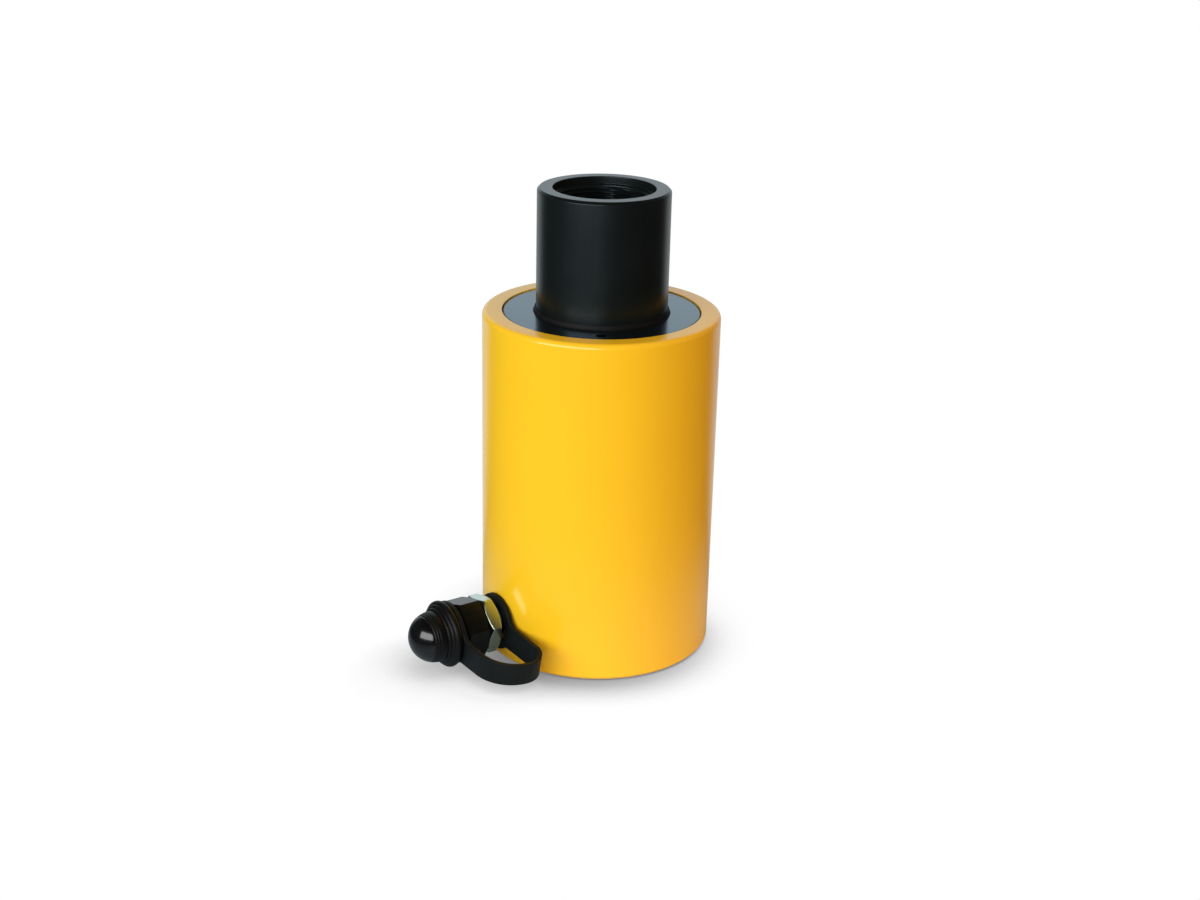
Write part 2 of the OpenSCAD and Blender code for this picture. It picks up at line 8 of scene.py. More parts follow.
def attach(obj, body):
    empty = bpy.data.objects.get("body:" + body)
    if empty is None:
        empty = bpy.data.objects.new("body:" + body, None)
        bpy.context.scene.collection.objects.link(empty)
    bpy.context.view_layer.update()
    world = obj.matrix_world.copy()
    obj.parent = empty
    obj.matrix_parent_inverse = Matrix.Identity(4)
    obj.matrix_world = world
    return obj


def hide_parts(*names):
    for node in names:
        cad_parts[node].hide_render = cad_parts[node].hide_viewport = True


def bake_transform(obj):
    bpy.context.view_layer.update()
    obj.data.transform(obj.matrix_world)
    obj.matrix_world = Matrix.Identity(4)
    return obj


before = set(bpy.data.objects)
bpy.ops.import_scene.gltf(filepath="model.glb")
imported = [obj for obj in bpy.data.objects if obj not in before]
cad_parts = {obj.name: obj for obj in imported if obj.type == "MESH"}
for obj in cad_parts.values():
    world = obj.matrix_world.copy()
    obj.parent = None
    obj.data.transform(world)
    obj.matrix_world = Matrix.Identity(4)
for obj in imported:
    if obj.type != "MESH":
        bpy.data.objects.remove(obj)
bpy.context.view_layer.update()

# Cylinder body: one steel forging with its base, turned outside and bored for the piston.
# It is sprayed with yellow enamel that has levelled to a gloss with a faint orange peel.
MM = 0.001
ROUND = 192  # segments round a large turned piece
ON_AXIS = 1e-6  # a smaller radius in millimetres is a point on the axis


def linear(colour):
    """An sRGB hex colour as linear red, green, blue and alpha."""
    parts = [int(colour[i:i + 2], 16) / 255 for i in (1, 3, 5)]
    return [p / 12.92 if p <= 0.04045 else ((p + 0.055) / 1.055) ** 2.4 for p in parts] + [1.0]


def add(tree, kind, settings=None, inputs=None):
    """Adds one node with its settings. An input is a value, or another node's output to link."""
    made = tree.nodes.new(kind)
    for name, value in (settings or {}).items():
        setattr(made, name, value)
    for name, value in (inputs or {}).items():
        if isinstance(value, bpy.types.NodeSocket):
            tree.links.new(value, made.inputs[name])
        else:
            made.inputs[name].default_value = value
    return made


def surface(name):
    """A new material's empty node tree, with its object coordinates."""
    material = bpy.data.materials.new(name)
    material.use_nodes = True
    material.node_tree.nodes.clear()
    place = add(material.node_tree, "ShaderNodeTexCoord")
    return material, material.node_tree, place.outputs["Object"]


def softened(outline, steps=4):
    """The outline's points, where a corner with a third value is rounded by that radius."""
    made = []
    for i, corner in enumerate(outline):
        here = Vector(corner[:2])
        if len(corner) < 3:
            made.append(here)
            continue
        back = (Vector(outline[i - 1][:2]) - here).normalized()
        onward = (Vector(outline[(i + 1) % len(outline)][:2]) - here).normalized()
        half = back.angle(onward) / 2
        reach = corner[2] / math.tan(half)
        centre = here + (back + onward).normalized() * (corner[2] / math.sin(half))
        start, end = here + back * reach - centre, here + onward * reach - centre
        turn = math.atan2(start.x * end.y - start.y * end.x, start.dot(end))
        for k in range(steps + 1):
            a = turn * k / steps
            spun = Vector((start.x * math.cos(a) - start.y * math.sin(a),
                           start.x * math.sin(a) + start.y * math.cos(a)))
            made.append(centre + spun)
    return made


def turned(outline, segments=ROUND, gap=None):
    """A mesh swept round +Z from a half outline in millimetres, left open where gap says so."""
    points = softened(outline)
    shape = bmesh.new()
    rings = []
    for radius, height in points:
        angles = [2 * math.pi * k / segments for k in range(segments if radius > ON_AXIS else 1)]
        rings.append([shape.verts.new((radius * MM * math.cos(a), radius * MM * math.sin(a),
                                       height * MM)) for a in angles])
    for i, low in enumerate(rings):
        high = rings[(i + 1) % len(rings)]
        if gap and gap(points[i], points[(i + 1) % len(points)]):
            continue
        for k in range(segments):
            j = (k + 1) % segments
            if len(low) > 1 and len(high) > 1:
                shape.faces.new((low[k], low[j], high[j], high[k]))
            elif len(low) > 1:
                shape.faces.new((low[k], low[j], high[0]))
            elif len(high) > 1:
                shape.faces.new((low[0], high[j], high[k]))
    bmesh.ops.recalc_face_normals(shape, faces=shape.faces)
    return shape


def rod(radius, low, high, segments):
    """A plain round rod along +Z between two heights, in millimetres."""
    return turned([(0, low), (radius, low), (radius, high), (0, high)], segments)


def placed(name, shape, turn=None):
    """An object at the origin from a bmesh, its place in its mesh."""
    if turn is not None:
        shape.transform(turn)
    mesh = bpy.data.meshes.new(name)
    shape.to_mesh(mesh)
    shape.free()
    made = bpy.data.objects.new(name, mesh)
    bpy.context.scene.collection.objects.link(made)
    return made


def worked_out(piece):
    """The plain mesh that the piece's modifiers make of it."""
    bpy.context.view_layer.update()
    graph = bpy.context.evaluated_depsgraph_get()
    return bpy.data.meshes.new_from_object(piece.evaluated_get(graph), depsgraph=graph)


def settled(piece, material):
    """Turns the piece's modifiers into its plain mesh, and gives it its material."""
    mesh = worked_out(piece)
    piece.modifiers.clear()
    piece.data = mesh
    mesh.name = piece.name
    mesh.materials.clear()
    mesh.materials.append(material)


def carved(piece, operation, *tools):
    """Cuts, joins or keeps the common part of the piece and each tool, and removes the tools."""
    for tool in tools:
        cut = piece.modifiers.new("carve", "BOOLEAN")
        cut.operation, cut.solver, cut.object = operation, "EXACT", tool
    mesh = worked_out(piece)
    piece.modifiers.clear()
    piece.data = mesh
    for tool in tools:
        bpy.data.objects.remove(tool)
    return piece


def smoothed(piece, sharp=35):
    """Smooth shading that keeps flat faces flat and edges over this angle crisp."""
    piece.data.shade_smooth()
    piece.data.set_sharp_from_angle(angle=math.radians(sharp))
    even = piece.modifiers.new("even shading", "WEIGHTED_NORMAL")
    even.keep_sharp = True
    return piece


# Turns a shape made along +Z to lie along the port, which points to -Y above the base.
PORT_Z = 20.0
TO_PORT = Matrix(((1, 0, 0, 0), (0, 0, -1, 0), (0, 1, 0, PORT_Z * MM), (0, 0, 0, 1)))

# Enamel: pigment under a clear gloss, so a warm diffuse yellow with a sharp white reflection.
enamel, tree, place = surface("yellow gloss enamel")
cloud = add(tree, "ShaderNodeTexNoise", {}, {"Vector": place, "Scale": 1 / 0.045, "Detail": 2.0})
tone = add(tree, "ShaderNodeMix", {"data_type": "RGBA"},
           {"Factor": cloud.outputs["Fac"], "A": linear("#F4C925"), "B": linear("#F1C522")})
peel = add(tree, "ShaderNodeTexNoise", {}, {"Vector": place, "Scale": 1 / 0.0022, "Detail": 1.0})
peel_bump = add(tree, "ShaderNodeBump", {},
                {"Height": peel.outputs["Fac"], "Strength": 0.05, "Distance": 0.0003})
gloss = add(tree, "ShaderNodeMapRange", {},
            {"Value": cloud.outputs["Fac"], "To Min": 0.2, "To Max": 0.27})
paint = add(tree, "ShaderNodeBsdfPrincipled", {},
            {"Base Color": tone.outputs["Result"], "Roughness": gloss.outputs["Result"],
             "IOR": 1.5, "Coat Weight": 0.06, "Coat Roughness": 0.1,
             "Normal": peel_bump.outputs["Normal"]})
add(tree, "ShaderNodeOutputMaterial", {}, {"Surface": paint.outputs["BSDF"]})

# Sizes are in millimetres, here and in the pieces that follow. A point's third value is the
# radius of its corner.
BODY_R, BODY_TOP, BASE_CHAMFER = 57, 169, 1.5
BORE_R, BORE_FLOOR = 42.5, 16
GLAND_SEAT, MOUTH_R = 148, 47.6
TUBE_HOLE_R, TUBE_HEAD_R, TUBE_HEAD = 21.1, 24.6, 5
RING_GROOVE_R, RING_LOW, RING_HIGH = 23.8, 9.15, 11.85
PORT_R, OIL_R, SCREW_R, SCREW_X = 8.4, 3, 4.25, 46
body = placed("cylinder_body_painted", turned([
    (TUBE_HEAD_R, 0, 0.4), (BODY_R - BASE_CHAMFER, 0, 0.4), (BODY_R, BASE_CHAMFER, 0.8),
    (BODY_R, 8), (BODY_R, 32), (BODY_R, BODY_TOP, 2.5), (MOUTH_R, BODY_TOP, 0.35),
    (MOUTH_R, GLAND_SEAT), (BORE_R, GLAND_SEAT), (BORE_R, BORE_FLOOR), (TUBE_HOLE_R, BORE_FLOOR),
    (TUBE_HOLE_R, RING_HIGH), (RING_GROOVE_R, RING_HIGH), (RING_GROOVE_R, RING_LOW),
    (TUBE_HOLE_R, RING_LOW), (TUBE_HOLE_R, TUBE_HEAD), (TUBE_HEAD_R, TUBE_HEAD)]))
port = placed("port_drill", rod(PORT_R, 46.2, 60, 96), TO_PORT)
oilway = placed("oil_drill", rod(OIL_R, 41, 48, 37), TO_PORT)
screw_outline = [(0, 12), (SCREW_R, 12), (SCREW_R, 0.5), (SCREW_R + 0.65, -0.3), (0, -0.3)]
screw_drills = [placed("screw_drill", turned(screw_outline, 48),
                       Matrix.Translation((side * SCREW_X * MM, 0, 0))) for side in (-1, 1)]
carved(body, "DIFFERENCE", port, oilway, *screw_drills)
settled(smoothed(body), enamel)
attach(body, "barrel")
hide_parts("cylinder_body")

# Center tube: a ground steel tube that the plunger slides on, screwed into the base from below.
# A rubber ring in a groove of the base seals it.
# Ground steel: bright metal with fine rings from the wheel, drawn 0.5 mm apart so that they show.
BAND = 0.314  # metres between a wave texture's bands at a scale of 1
ground_steel, tree, place = surface("ground steel")
rings = add(tree, "ShaderNodeTexWave", {"wave_type": "BANDS", "bands_direction": "Z"},
            {"Vector": place, "Scale": BAND / 0.0005, "Distortion": 1.5, "Detail": 1.0})
stain = add(tree, "ShaderNodeTexNoise", {}, {"Vector": place, "Scale": 1 / 0.012, "Detail": 3.0})
tone = add(tree, "ShaderNodeMix", {"data_type": "RGBA"},
           {"Factor": stain.outputs["Fac"], "A": linear("#B9BBBE"), "B": linear("#A2A4A8")})
rub = add(tree, "ShaderNodeMapRange", {},
          {"Value": rings.outputs["Fac"], "To Min": 0.22, "To Max": 0.32})
marks = add(tree, "ShaderNodeBump", {},
            {"Height": rings.outputs["Fac"], "Strength": 0.08, "Distance": 0.0001})
metal = add(tree, "ShaderNodeBsdfPrincipled", {},
            {"Base Color": tone.outputs["Result"], "Metallic": 1.0,
             "Roughness": rub.outputs["Result"], "Normal": marks.outputs["Normal"]})
add(tree, "ShaderNodeOutputMaterial", {}, {"Surface": metal.outputs["BSDF"]})

# Nitrile rubber: moulded, dark and matt, with a faint bloom in patches.
nitrile, tree, place = surface("moulded nitrile rubber")
bloom = add(tree, "ShaderNodeTexNoise", {}, {"Vector": place, "Scale": 1 / 0.006, "Detail": 3.0})
tone = add(tree, "ShaderNodeMix", {"data_type": "RGBA"},
           {"Factor": bloom.outputs["Fac"], "A": linear("#0E0F10"), "B": linear("#17181A")})
grain = add(tree, "ShaderNodeTexNoise", {}, {"Vector": place, "Scale": 1 / 0.0006, "Detail": 2.0})
grain_bump = add(tree, "ShaderNodeBump", {},
                 {"Height": grain.outputs["Fac"], "Strength": 0.12, "Distance": 0.0001})
rubber = add(tree, "ShaderNodeBsdfPrincipled", {},
             {"Base Color": tone.outputs["Result"], "Roughness": 0.55, "IOR": 1.5,
              "Specular IOR Level": 0.12, "Normal": grain_bump.outputs["Normal"]})
add(tree, "ShaderNodeOutputMaterial", {}, {"Surface": rubber.outputs["BSDF"]})

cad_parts["center_tube"].data.materials[0] = ground_steel
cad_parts["tube_o_ring"].data.materials[0] = nitrile

# Plunger: a hollow steel bar with its piston, turned in one, blackened and rubbed to satin.
# Its mouth has a smooth entry and then a thread for a screwed saddle.


def grown(name, tree, values):
    """The plain mesh that a geometry node tree makes with these named sizes."""
    carrier = bpy.data.objects.new(name, bpy.data.meshes.new(name))
    bpy.context.scene.collection.objects.link(carrier)
    growth = carrier.modifiers.new(name, "NODES")
    growth.node_group = tree
    for item in tree.interface.items_tree:
        if item.item_type == "SOCKET" and item.in_out == "INPUT" and item.name in values:
            growth[item.identifier] = values[item.name]
    mesh = worked_out(carrier)
    bpy.data.objects.remove(carrier)
    return mesh


def new_tree(name, sizes):
    """A geometry node tree with these named inputs, and the sockets that give their values."""
    tree = bpy.data.node_groups.new(name, "GeometryNodeTree")
    tree.interface.new_socket("Geometry", in_out="OUTPUT", socket_type="NodeSocketGeometry")
    for size, kind in sizes.items():
        tree.interface.new_socket(size, in_out="INPUT", socket_type=kind)
    return tree, add(tree, "NodeGroupInput").outputs


# A screw thread as one sheet: a grid wrapped round the axis, raised along a helix, that runs
# out to a plain circle at both ends so that it closes against the turned walls. Its flanks leave
# narrow flats at root and crest.
ROWS_PER_TURN = 10
FLOAT, WHOLE = "NodeSocketFloat", "NodeSocketInt"
WELD = 2e-6  # metres under which two corners are one
tree, given = new_tree("screw thread", {
    "Radius": FLOAT, "Depth": FLOAT, "Pitch": FLOAT, "Length": FLOAT, "Start": FLOAT,
    "Rows": WHOLE, "Columns": WHOLE, "Finish": "NodeSocketMaterial"})
sheet = add(tree, "GeometryNodeMeshGrid", {},
            {"Size X": 2 * math.pi, "Size Y": given["Length"],
             "Vertices X": given["Columns"], "Vertices Y": given["Rows"]})
spot = add(tree, "ShaderNodeSeparateXYZ", {},
           {"Vector": add(tree, "GeometryNodeInputPosition").outputs[0]})
half_way = add(tree, "ShaderNodeMath", {"operation": "MULTIPLY"}, {0: given["Length"], 1: 0.5})
height = add(tree, "ShaderNodeMath", {"operation": "ADD"},
             {0: spot.outputs["Y"], 1: half_way.outputs[0]})
to_end = add(tree, "ShaderNodeMath", {"operation": "SUBTRACT"},
             {0: given["Length"], 1: height.outputs[0]})
turns_up = add(tree, "ShaderNodeMath", {"operation": "DIVIDE"},
               {0: height.outputs[0], 1: given["Pitch"]})
turns_round = add(tree, "ShaderNodeMath", {"operation": "DIVIDE"},
                  {0: spot.outputs["X"], 1: 2 * math.pi})
phase = add(tree, "ShaderNodeMath", {"operation": "SUBTRACT"},
            {0: turns_up.outputs[0], 1: turns_round.outputs[0]})
flank = add(tree, "ShaderNodeMath", {"operation": "PINGPONG"}, {0: phase.outputs[0], 1: 0.5})
crest = add(tree, "ShaderNodeMapRange", {},
            {"Value": flank.outputs[0], "From Min": 0.06, "From Max": 0.42})
nearest_end = add(tree, "ShaderNodeMath", {"operation": "MINIMUM"},
                  {0: height.outputs[0], 1: to_end.outputs[0]})
run_out = add(tree, "ShaderNodeMapRange", {},
              {"Value": nearest_end.outputs[0], "From Max": given["Pitch"]})
raised = add(tree, "ShaderNodeMath", {"operation": "MULTIPLY"},
             {0: crest.outputs[0], 1: run_out.outputs[0]})
reach = add(tree, "ShaderNodeMath", {"operation": "MULTIPLY_ADD"},
            {0: raised.outputs[0], 1: given["Depth"], 2: given["Radius"]})
cosine = add(tree, "ShaderNodeMath", {"operation": "COSINE"}, {0: spot.outputs["X"]})
sine = add(tree, "ShaderNodeMath", {"operation": "SINE"}, {0: spot.outputs["X"]})
out_x = add(tree, "ShaderNodeMath", {"operation": "MULTIPLY"},
            {0: reach.outputs[0], 1: cosine.outputs[0]})
out_y = add(tree, "ShaderNodeMath", {"operation": "MULTIPLY"},
            {0: reach.outputs[0], 1: sine.outputs[0]})
out_z = add(tree, "ShaderNodeMath", {"operation": "ADD"}, {0: given["Start"], 1: height.outputs[0]})
wound = add(tree, "ShaderNodeCombineXYZ", {},
            {"X": out_x.outputs[0], "Y": out_y.outputs[0], "Z": out_z.outputs[0]})
wrapped = add(tree, "GeometryNodeSetPosition", {},
              {"Geometry": sheet.outputs["Mesh"], "Position": wound.outputs["Vector"]})
joined = add(tree, "GeometryNodeMergeByDistance", {},
             {"Geometry": wrapped.outputs["Geometry"], "Distance": WELD / 2})
real = add(tree, "GeometryNodeRealizeInstances", {}, {"Geometry": joined.outputs["Geometry"]})
finish = add(tree, "GeometryNodeSetMaterial", {},
             {"Geometry": real.outputs["Geometry"], "Material": given["Finish"]})
add(tree, "NodeGroupOutput", {}, {"Geometry": finish.outputs["Geometry"]})
thread_tree = tree


def threaded(name, shape, material, radius, depth, pitch, start, end, turn=None):
    """Closes the open wall of a turned shape with a thread, sizes in millimetres."""
    mesh = grown(name, thread_tree, {
        "Radius": radius * MM, "Depth": depth * MM, "Pitch": pitch * MM,
        "Length": (end - start) * MM, "Start": start * MM,
        "Rows": 1 + round((end - start) / pitch * ROWS_PER_TURN), "Columns": ROUND + 1,
        "Finish": material})
    shape.from_mesh(mesh)
    bpy.data.meshes.remove(mesh)
    bmesh.ops.remove_doubles(shape, verts=shape.verts, dist=WELD)
    bmesh.ops.recalc_face_normals(shape, faces=shape.faces)
    return placed(name, shape, turn)


# Blackened plunger: oxide on turned steel, near black, with the tool's faint rings drawn 0.7 mm
# apart, and lengthwise rubbing from the gland in its gloss.
black_plunger, tree, place = surface("satin black oxide plunger")
rings = add(tree, "ShaderNodeTexWave", {"wave_type": "BANDS", "bands_direction": "Z"},
            {"Vector": place, "Scale": BAND / 0.0007, "Distortion": 2.0, "Detail": 2.0})
stretched = add(tree, "ShaderNodeMapping", {}, {"Vector": place, "Scale": (1.0, 1.0, 0.04)})
rubbed = add(tree, "ShaderNodeTexNoise", {},
             {"Vector": stretched.outputs["Vector"], "Scale": 1 / 0.0015, "Detail": 3.0})
mottle = add(tree, "ShaderNodeTexNoise", {}, {"Vector": place, "Scale": 1 / 0.02, "Detail": 3.0})
tone = add(tree, "ShaderNodeMix", {"data_type": "RGBA"},
           {"Factor": mottle.outputs["Fac"], "A": linear("#080E0E"), "B": linear("#111717")})
wear = add(tree, "ShaderNodeMath", {"operation": "MULTIPLY"},
           {0: rubbed.outputs["Fac"], 1: mottle.outputs["Fac"]})
rub = add(tree, "ShaderNodeMapRange", {},
          {"Value": wear.outputs[0], "From Max": 0.6, "To Min": 0.27, "To Max": 0.34})
marks = add(tree, "ShaderNodeBump", {},
            {"Height": rings.outputs["Fac"], "Strength": 0.05, "Distance": 0.0001})
oxide = add(tree, "ShaderNodeBsdfPrincipled", {},
            {"Base Color": tone.outputs["Result"], "Roughness": rub.outputs["Result"], "IOR": 1.5,
             "Specular Tint": linear("#DCF2FF"), "Normal": marks.outputs["Normal"]})
add(tree, "ShaderNodeOutputMaterial", {}, {"Surface": oxide.outputs["BSDF"]})

PLUNGER_R, PLUNGER_TOP, TOP_CHAMFER, GUIDE_R = 31.5, 228, 1.2, 21.3
PISTON_R, PISTON_LOW, PISTON_TOP, FOOT_R, FOOT_TOP = 42.2, 72.3, 98.28, 38, 77.3
ENTRY_R, THREAD_R, THREAD_LOW, THREAD_TOP = 24.3, 23, 203, 224
OUTER_SEAL_R, OUTER_SEAL_LOW, OUTER_SEAL_HIGH = 35.9, 79.75, 88.1
INNER_SEAL_R, INNER_SEAL_LOW, INNER_SEAL_HIGH = 25.8, 77.3, 85.65
OUTER_STRIP_R, INNER_STRIP_R, STRIP_LOW, STRIP_HIGH = 39.8, 23.7, 90.6, 96.5
plunger_shape = turned([
    (GUIDE_R, PISTON_LOW), (FOOT_R, PISTON_LOW, 0.5), (FOOT_R, FOOT_TOP), (PISTON_R, FOOT_TOP, 0.4),
    (PISTON_R, OUTER_SEAL_LOW), (OUTER_SEAL_R, OUTER_SEAL_LOW), (OUTER_SEAL_R, OUTER_SEAL_HIGH),
    (PISTON_R, OUTER_SEAL_HIGH), (PISTON_R, STRIP_LOW), (OUTER_STRIP_R, STRIP_LOW),
    (OUTER_STRIP_R, STRIP_HIGH), (PISTON_R, STRIP_HIGH), (PISTON_R, PISTON_TOP, 0.4),
    (PLUNGER_R, PISTON_TOP), (PLUNGER_R, PLUNGER_TOP - TOP_CHAMFER, 0.5),
    (PLUNGER_R - TOP_CHAMFER, PLUNGER_TOP, 0.5), (ENTRY_R, PLUNGER_TOP, 0.4),
    (ENTRY_R, THREAD_TOP + 0.4, 0.3), (THREAD_R, THREAD_TOP), (THREAD_R, THREAD_LOW),
    (GUIDE_R, THREAD_LOW - 1, 0.3), (GUIDE_R, STRIP_HIGH), (INNER_STRIP_R, STRIP_HIGH),
    (INNER_STRIP_R, STRIP_LOW), (GUIDE_R, STRIP_LOW), (GUIDE_R, INNER_SEAL_HIGH),
    (INNER_SEAL_R, INNER_SEAL_HIGH), (INNER_SEAL_R, INNER_SEAL_LOW), (GUIDE_R, INNER_SEAL_LOW)],
    gap=lambda a, b: a[0] == b[0] == THREAD_R)
plunger = threaded("plunger_blackened", plunger_shape, black_plunger, radius=THREAD_R, depth=-1.1,
                   pitch=2.0, start=THREAD_LOW, end=THREAD_TOP)
settled(smoothed(plunger), black_plunger)
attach(plunger, "ram")
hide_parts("plunger")

# Piston seals and guide rings: moulded polyurethane lip seals with hard back-up rings behind them,
# and split guide strips, all sprung into grooves of the piston outside and inside.
# Cast polyurethane: dark blue and slightly waxy.
polyurethane, tree, place = surface("moulded blue polyurethane")
cloud = add(tree, "ShaderNodeTexNoise", {}, {"Vector": place, "Scale": 1 / 0.008, "Detail": 2.0})
tone = add(tree, "ShaderNodeMix", {"data_type": "RGBA"},
           {"Factor": cloud.outputs["Fac"], "A": linear("#22325C"), "B": linear("#2B3D6B")})
skin = add(tree, "ShaderNodeBump", {},
           {"Height": cloud.outputs["Fac"], "Strength": 0.05, "Distance": 0.0002})
waxy = add(tree, "ShaderNodeBsdfPrincipled", {},
           {"Base Color": tone.outputs["Result"], "Roughness": 0.4, "IOR": 1.5,
            "Normal": skin.outputs["Normal"]})
add(tree, "ShaderNodeOutputMaterial", {}, {"Surface": waxy.outputs["BSDF"]})

# Turned acetal: off-white, with the cutter's fine rings drawn 0.3 mm apart.
acetal, tree, place = surface("turned white acetal")
rings = add(tree, "ShaderNodeTexWave", {"wave_type": "RINGS", "rings_direction": "Z"},
            {"Vector": place, "Scale": BAND / 0.0003, "Distortion": 0.5})
tone = add(tree, "ShaderNodeMix", {"data_type": "RGBA"},
           {"Factor": rings.outputs["Fac"], "A": linear("#EAE6DA"), "B": linear("#DEDACD")})
marks = add(tree, "ShaderNodeBump", {},
            {"Height": rings.outputs["Fac"], "Strength": 0.1, "Distance": 0.0001})
plastic = add(tree, "ShaderNodeBsdfPrincipled", {},
              {"Base Color": tone.outputs["Result"], "Roughness": 0.42, "IOR": 1.48,
               "Normal": marks.outputs["Normal"]})
add(tree, "ShaderNodeOutputMaterial", {}, {"Surface": plastic.outputs["BSDF"]})

# Resin-filled cloth: brown guide strip with the woven threads 0.6 mm apart showing through.
resin_cloth, tree, place = surface("resin-filled cloth strip")
warp = add(tree, "ShaderNodeTexWave", {"wave_type": "BANDS", "bands_direction": "Z"},
           {"Vector": place, "Scale": BAND / 0.0006, "Distortion": 0.8})
weft = add(tree, "ShaderNodeTexWave", {"wave_type": "BANDS", "bands_direction": "DIAGONAL"},
           {"Vector": place, "Scale": BAND / 0.0006, "Distortion": 0.8})
weave = add(tree, "ShaderNodeMath", {"operation": "MULTIPLY"},
            {0: warp.outputs["Fac"], 1: weft.outputs["Fac"]})
tone = add(tree, "ShaderNodeMix", {"data_type": "RGBA"},
           {"Factor": weave.outputs[0], "A": linear("#6E4E26"), "B": linear("#9A7440")})
threads = add(tree, "ShaderNodeBump", {},
              {"Height": weave.outputs[0], "Strength": 0.2, "Distance": 0.0001})
strip = add(tree, "ShaderNodeBsdfPrincipled", {},
            {"Base Color": tone.outputs["Result"], "Roughness": 0.5, "IOR": 1.5,
             "Normal": threads.outputs["Normal"]})
add(tree, "ShaderNodeOutputMaterial", {}, {"Surface": strip.outputs["BSDF"]})

for seal, finish_used in (("piston_seal", polyurethane), ("tube_seal", polyurethane),
                          ("piston_backup_ring", acetal), ("tube_backup_ring", acetal),
                          ("piston_wear_ring", resin_cloth), ("tube_wear_ring", resin_cloth)):
    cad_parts[seal].data.materials[0] = finish_used

# Return spring: oiled spring wire coiled round the stop sleeve between piston and gland.
# It draws the plunger back down, so it stretches as the plunger goes down.
# Drawn wire: dark grey steel with lengthwise die marks and a thin oil film.
spring_wire, tree, place = surface("oiled drawn spring wire")
scale_spots = add(tree, "ShaderNodeTexNoise", {},
                  {"Vector": place, "Scale": 1 / 0.004, "Detail": 4.0})
tone = add(tree, "ShaderNodeMix", {"data_type": "RGBA"},
           {"Factor": scale_spots.outputs["Fac"], "A": linear("#4A4B4F"), "B": linear("#6A6B70")})
film = add(tree, "ShaderNodeMapRange", {},
           {"Value": scale_spots.outputs["Fac"], "To Min": 0.25, "To Max": 0.45})
marks = add(tree, "ShaderNodeBump", {},
            {"Height": scale_spots.outputs["Fac"], "Strength": 0.08, "Distance": 0.0001})
wire = add(tree, "ShaderNodeBsdfPrincipled", {},
           {"Base Color": tone.outputs["Result"], "Metallic": 1.0,
            "Roughness": film.outputs["Result"], "Normal": marks.outputs["Normal"]})
add(tree, "ShaderNodeOutputMaterial", {}, {"Surface": wire.outputs["BSDF"]})

# A coil spring: round wire along a spiral, with both wire ends closed.
STEPS_PER_TURN = 72
tree, given = new_tree("coil spring", {
    "Radius": FLOAT, "Turns": FLOAT, "Rise": FLOAT, "Wire": FLOAT, "Start": FLOAT,
    "Steps": WHOLE, "Sides": WHOLE, "Finish": "NodeSocketMaterial"})
spiral = add(tree, "GeometryNodeCurveSpiral", {},
             {"Resolution": given["Steps"], "Rotations": given["Turns"],
              "Start Radius": given["Radius"], "End Radius": given["Radius"],
              "Height": given["Rise"]})
upright = add(tree, "GeometryNodeSetCurveNormal", {"mode": "Z_UP"},
              {"Curve": spiral.outputs["Curve"]})
section = add(tree, "GeometryNodeCurvePrimitiveCircle", {"mode": "RADIUS"},
              {"Resolution": given["Sides"], "Radius": given["Wire"]})
swept = add(tree, "GeometryNodeCurveToMesh", {},
            {"Curve": upright.outputs["Curve"], "Profile Curve": section.outputs["Curve"],
             "Fill Caps": True})
lift = add(tree, "ShaderNodeCombineXYZ", {}, {"Z": given["Start"]})
stood = add(tree, "GeometryNodeTransform", {},
            {"Geometry": swept.outputs["Mesh"], "Translation": lift.outputs["Vector"]})
shaded = add(tree, "GeometryNodeSetShadeSmooth", {}, {"Geometry": stood.outputs["Geometry"]})
real = add(tree, "GeometryNodeRealizeInstances", {}, {"Geometry": shaded.outputs["Geometry"]})
finish = add(tree, "GeometryNodeSetMaterial", {},
             {"Geometry": real.outputs["Geometry"], "Material": given["Finish"]})
add(tree, "NodeGroupOutput", {}, {"Geometry": finish.outputs["Geometry"]})
coil_tree = tree


def coiled(name, mid_radius, turns, low, high, wire_d, sides, turn=None):
    """A coil spring between two heights, sizes in millimetres."""
    mesh = grown(name, coil_tree, {
        "Radius": mid_radius * MM, "Turns": turns, "Rise": (high - low - wire_d) * MM,
        "Wire": wire_d / 2 * MM, "Start": (low + wire_d / 2) * MM,
        "Steps": round(turns * STEPS_PER_TURN), "Sides": sides, "Finish": spring_wire})
    shape = bmesh.new()
    shape.from_mesh(mesh)
    bpy.data.meshes.remove(mesh)
    bmesh.ops.recalc_face_normals(shape, faces=shape.faces)
    made = placed(name, shape, turn)
    made.data.materials.append(spring_wire)
    made.data.set_sharp_from_angle(angle=math.radians(50))
    return made


return_coil = coiled("return_spring_coil", mid_radius=38.4, turns=5.75, low=98.4, high=147.9,
                     wire_d=6.5, sides=20)
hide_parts("return_spring")
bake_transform(return_coil)

# Gland nut: a blackened steel ring screwed into the body's mouth, with two pin spanner holes.
# It carries a bronze guide bush, and the stop sleeve below it ends the stroke.
# Oiled black oxide: smooth blue-black metal that mirrors, with turning rings drawn 0.6 mm apart.
black_oxide, tree, place = surface("oiled black oxide")
rings = add(tree, "ShaderNodeTexWave", {"wave_type": "RINGS", "rings_direction": "Z"},
            {"Vector": place, "Scale": BAND / 0.0006, "Distortion": 0.6, "Detail": 1.0})
film = add(tree, "ShaderNodeTexNoise", {}, {"Vector": place, "Scale": 1 / 0.015, "Detail": 3.0})
tone = add(tree, "ShaderNodeMix", {"data_type": "RGBA"},
           {"Factor": film.outputs["Fac"], "A": linear("#3F5967"), "B": linear("#496270")})
rub = add(tree, "ShaderNodeMapRange", {},
          {"Value": film.outputs["Fac"], "To Min": 0.14, "To Max": 0.24})
